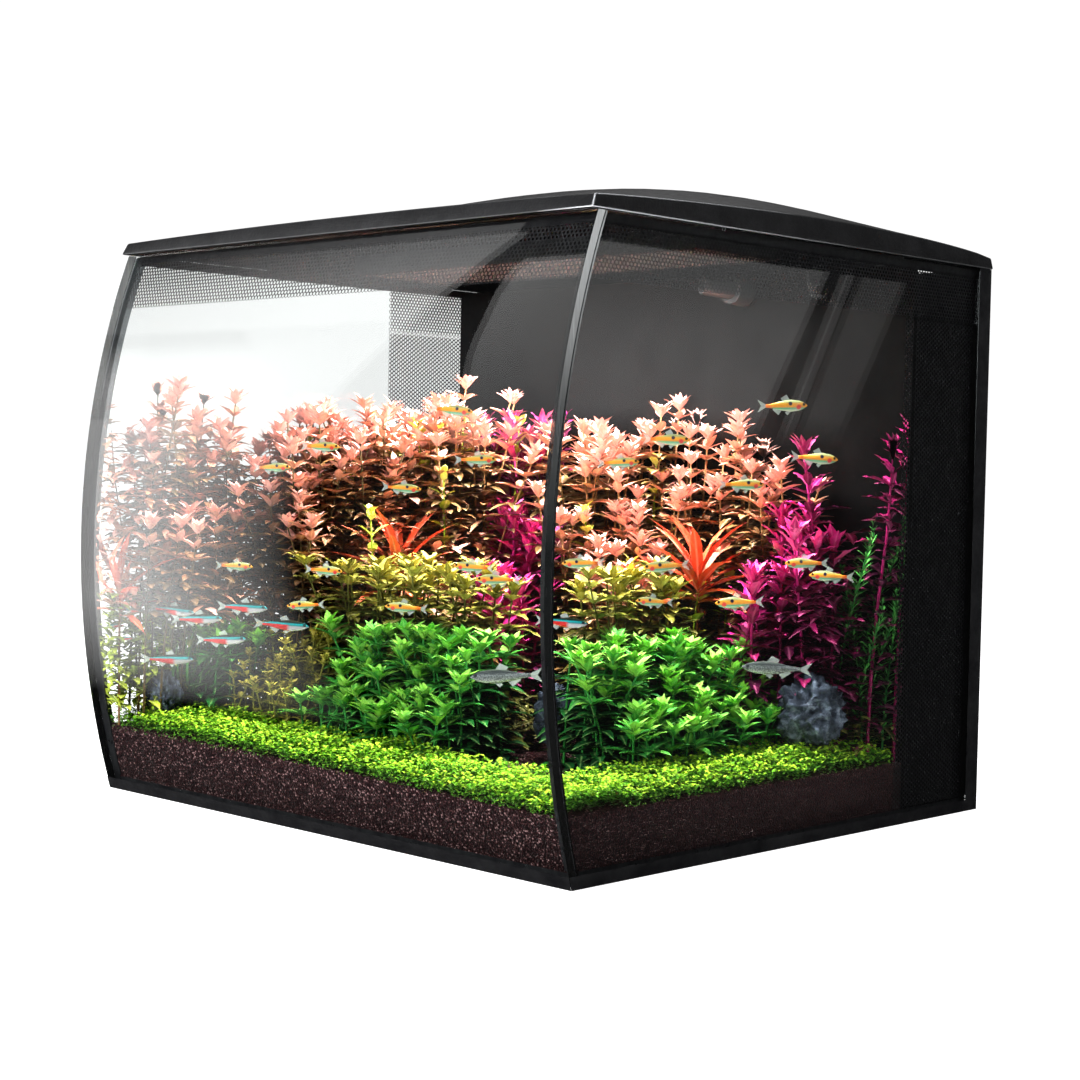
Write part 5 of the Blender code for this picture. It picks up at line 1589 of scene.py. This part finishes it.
def area_light(name, place, target, size, energy, colour=WHITE, glossy=True):
    """A rectangular light at a place, turned towards a target."""
    data = bpy.data.lights.new(name, "AREA")
    data.shape = "RECTANGLE"
    data.size, data.size_y = size
    data.energy = energy
    data.color = colour
    made = linked(name, data)
    made.location = place
    made.rotation_euler = (Vector(target) - Vector(place)).to_track_quat("-Z", "Y").to_euler()
    made.visible_glossy = glossy
    return made


def reflector(name, corners, strength, *fades):
    """A bright card seen only in reflections. A fade is an axis, where it is dark and where it is full."""
    mesh = bpy.data.meshes.new(name)
    mesh.from_pydata(corners, [], [tuple(range(len(corners)))])
    card = linked(name, mesh)
    look = Look(name)
    level = strength
    for axis, dark, full in fades:
        level = look.maths("MULTIPLY", level, look.spread(look.axis(axis), dark, full))
    glow = look.node("ShaderNodeEmission", {"Color": WHITE, "Strength": level})
    look.surface(glow.outputs[0])
    mesh.materials.append(look.material)
    card.visible_camera = False
    card.visible_diffuse = False
    card.visible_shadow = False
    card.visible_transmission = False


def make_cards():
    """What the panes mirror: glare at the front pane's left, a sheen over a slant and soft grey streaks."""
    near = -0.9
    glare = [(-1.9, -0.5), (-0.80, -0.5), (-0.80, 0.8), (-1.9, 0.8)]
    sheen = [
        (-1.8, 0.48), (-0.895, 0.48), (-0.886, 0.73), (-0.890, 0.86), (-0.900, 0.97), (-0.925, 1.14),
        (-0.990, 1.37), (-1.8, 1.37),
    ]
    wall = [
        (-0.655, 0.42), (-0.690, 0.587), (-0.724, 0.684), (-0.758, 0.792), (-0.798, 0.899), (-0.826, 0.991),
        (-0.826, 1.02), (-0.30, 1.02), (-0.30, 0.42),
    ]
    fronts = (
        ("glare_card", glare, 4.6, (("X", -0.87, -1.16), ("Z", -0.38, -0.05), ("Z", 0.76, 0.60))),
        ("sheen_card", sheen, 1.6, (("X", -1.75, -1.10), ("Z", 1.60, 1.0))),
        ("wall_card", wall, 1.5, (("X", -0.22, -0.78), ("Z", -0.2, 0.95))),
    )
    for name, outline, strength, fades in fronts:
        reflector(name, [(x, near, z) for x, z in outline], strength, *fades)
    side = 1.0
    low, high = 0.24, 0.46
    streaks = (
        ("room_card", (0.30, 0.30), (0.975, 1.120), 0.80, (("Y", 1.9, 0.6),)),
        ("streak_card", (1.025, 1.155), (1.043, 1.173), 0.45, ()),
        ("window_card", (1.060, 1.190), (1.145, 1.290), 0.22, ()),
    )
    for name, (low_left, high_left), (low_right, high_right), strength, fades in streaks:
        outline = ((low_left, low), (low_right, low), (high_right, high), (high_left, high))
        corners = [(side, y, z) for y, z in outline]
        reflector(name, corners, strength, ("Z", 0.24, 0.28), *fades)


def make_world():
    """White where the camera sees past the tank, dim where the glass mirrors the room, soft elsewhere."""
    world = bpy.data.worlds.new("studio")
    bpy.context.scene.world = world
    world.use_nodes = True
    tree = world.node_tree
    seen = tree.nodes.new("ShaderNodeLightPath")

    def background(colour, strength):
        made = tree.nodes.new("ShaderNodeBackground")
        made.inputs["Color"].default_value = (*colour, 1.0)
        made.inputs["Strength"].default_value = strength
        return made

    def chosen(ray, otherwise, then):
        made = tree.nodes.new("ShaderNodeMixShader")
        for index, socket in enumerate((seen.outputs[ray], otherwise.outputs[0], then.outputs[0])):
            tree.links.new(socket, made.inputs[index])
        return made

    soft = background((0.9, 0.95, 1.0), ROOM_LIGHT)
    mirrored = background((0.6, 0.6, 0.62), MIRRORED_ROOM)
    lit = chosen("Is Glossy Ray", soft, mirrored)
    all_rays = chosen("Is Camera Ray", lit, background(WHITE, 1.05))
    tree.links.new(all_rays.outputs[0], tree.nodes["World Output"].inputs["Surface"])


def make_light():
    """Plain soft studio light and the lamp's own light inside."""
    make_world()
    area_light("key", (0.3, -1.5, 1.3), (0.0, 0.0, 0.15), (0.7, 0.6), 22.0, glossy=False)
    area_light("side", (1.7, 0.0, 1.2), (0.0, 0.0, 0.15), (0.7, 0.6), 16.0, glossy=False)
    area_light("left_fill", (-0.5, -1.6, 0.7), (-0.15, -0.12, 0.10), (0.5, 0.5), 42.0, glossy=False)
    area_light("top", (-0.1, 0.3, 1.5), (0.0, 0.0, 0.3), (0.9, 0.9), 9.0)
    low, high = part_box("lamp_lens")
    middle = (low + high) / 2
    lamp = area_light(
        "tank_lamp", (middle.x, middle.y, low.z - 0.002), (middle.x, middle.y, 0.0),
        (high.x - low.x, high.y - low.y), 9.0, (1.0, 0.98, 0.95), glossy=False,
    )
    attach(lamp, "hood")


def make_camera():
    """The camera that took the picture."""
    data = bpy.data.cameras.new("camera")
    data.sensor_width = SENSOR
    data.lens = CAMERA_LENS
    data.clip_start = 0.01
    data.clip_end = 100.0
    camera = linked("camera", data)
    ahead = Vector((
        -math.sin(CAMERA_TURN) * math.cos(CAMERA_TILT),
        math.cos(CAMERA_TURN) * math.cos(CAMERA_TILT),
        math.sin(CAMERA_TILT),
    ))
    right = Vector((math.cos(CAMERA_TURN), math.sin(CAMERA_TURN), 0.0))
    above = right.cross(ahead)
    rolled_right = right * math.cos(CAMERA_ROLL) + above * math.sin(CAMERA_ROLL)
    rolled_up = above * math.cos(CAMERA_ROLL) - right * math.sin(CAMERA_ROLL)
    turn = Matrix((rolled_right, rolled_up, -ahead)).transposed().to_4x4()
    camera.matrix_world = Matrix.Translation(CAMERA_PLACE) @ turn
    bpy.context.scene.camera = camera


make_camera()
dress_frame()
make_top_print()
make_rear_print()
make_base_print()
make_rear_film()
make_gravel()
make_planting()
make_fish()
make_floor()
make_light()
make_cards()
bpy.context.scene.view_settings.view_transform = "Standard"
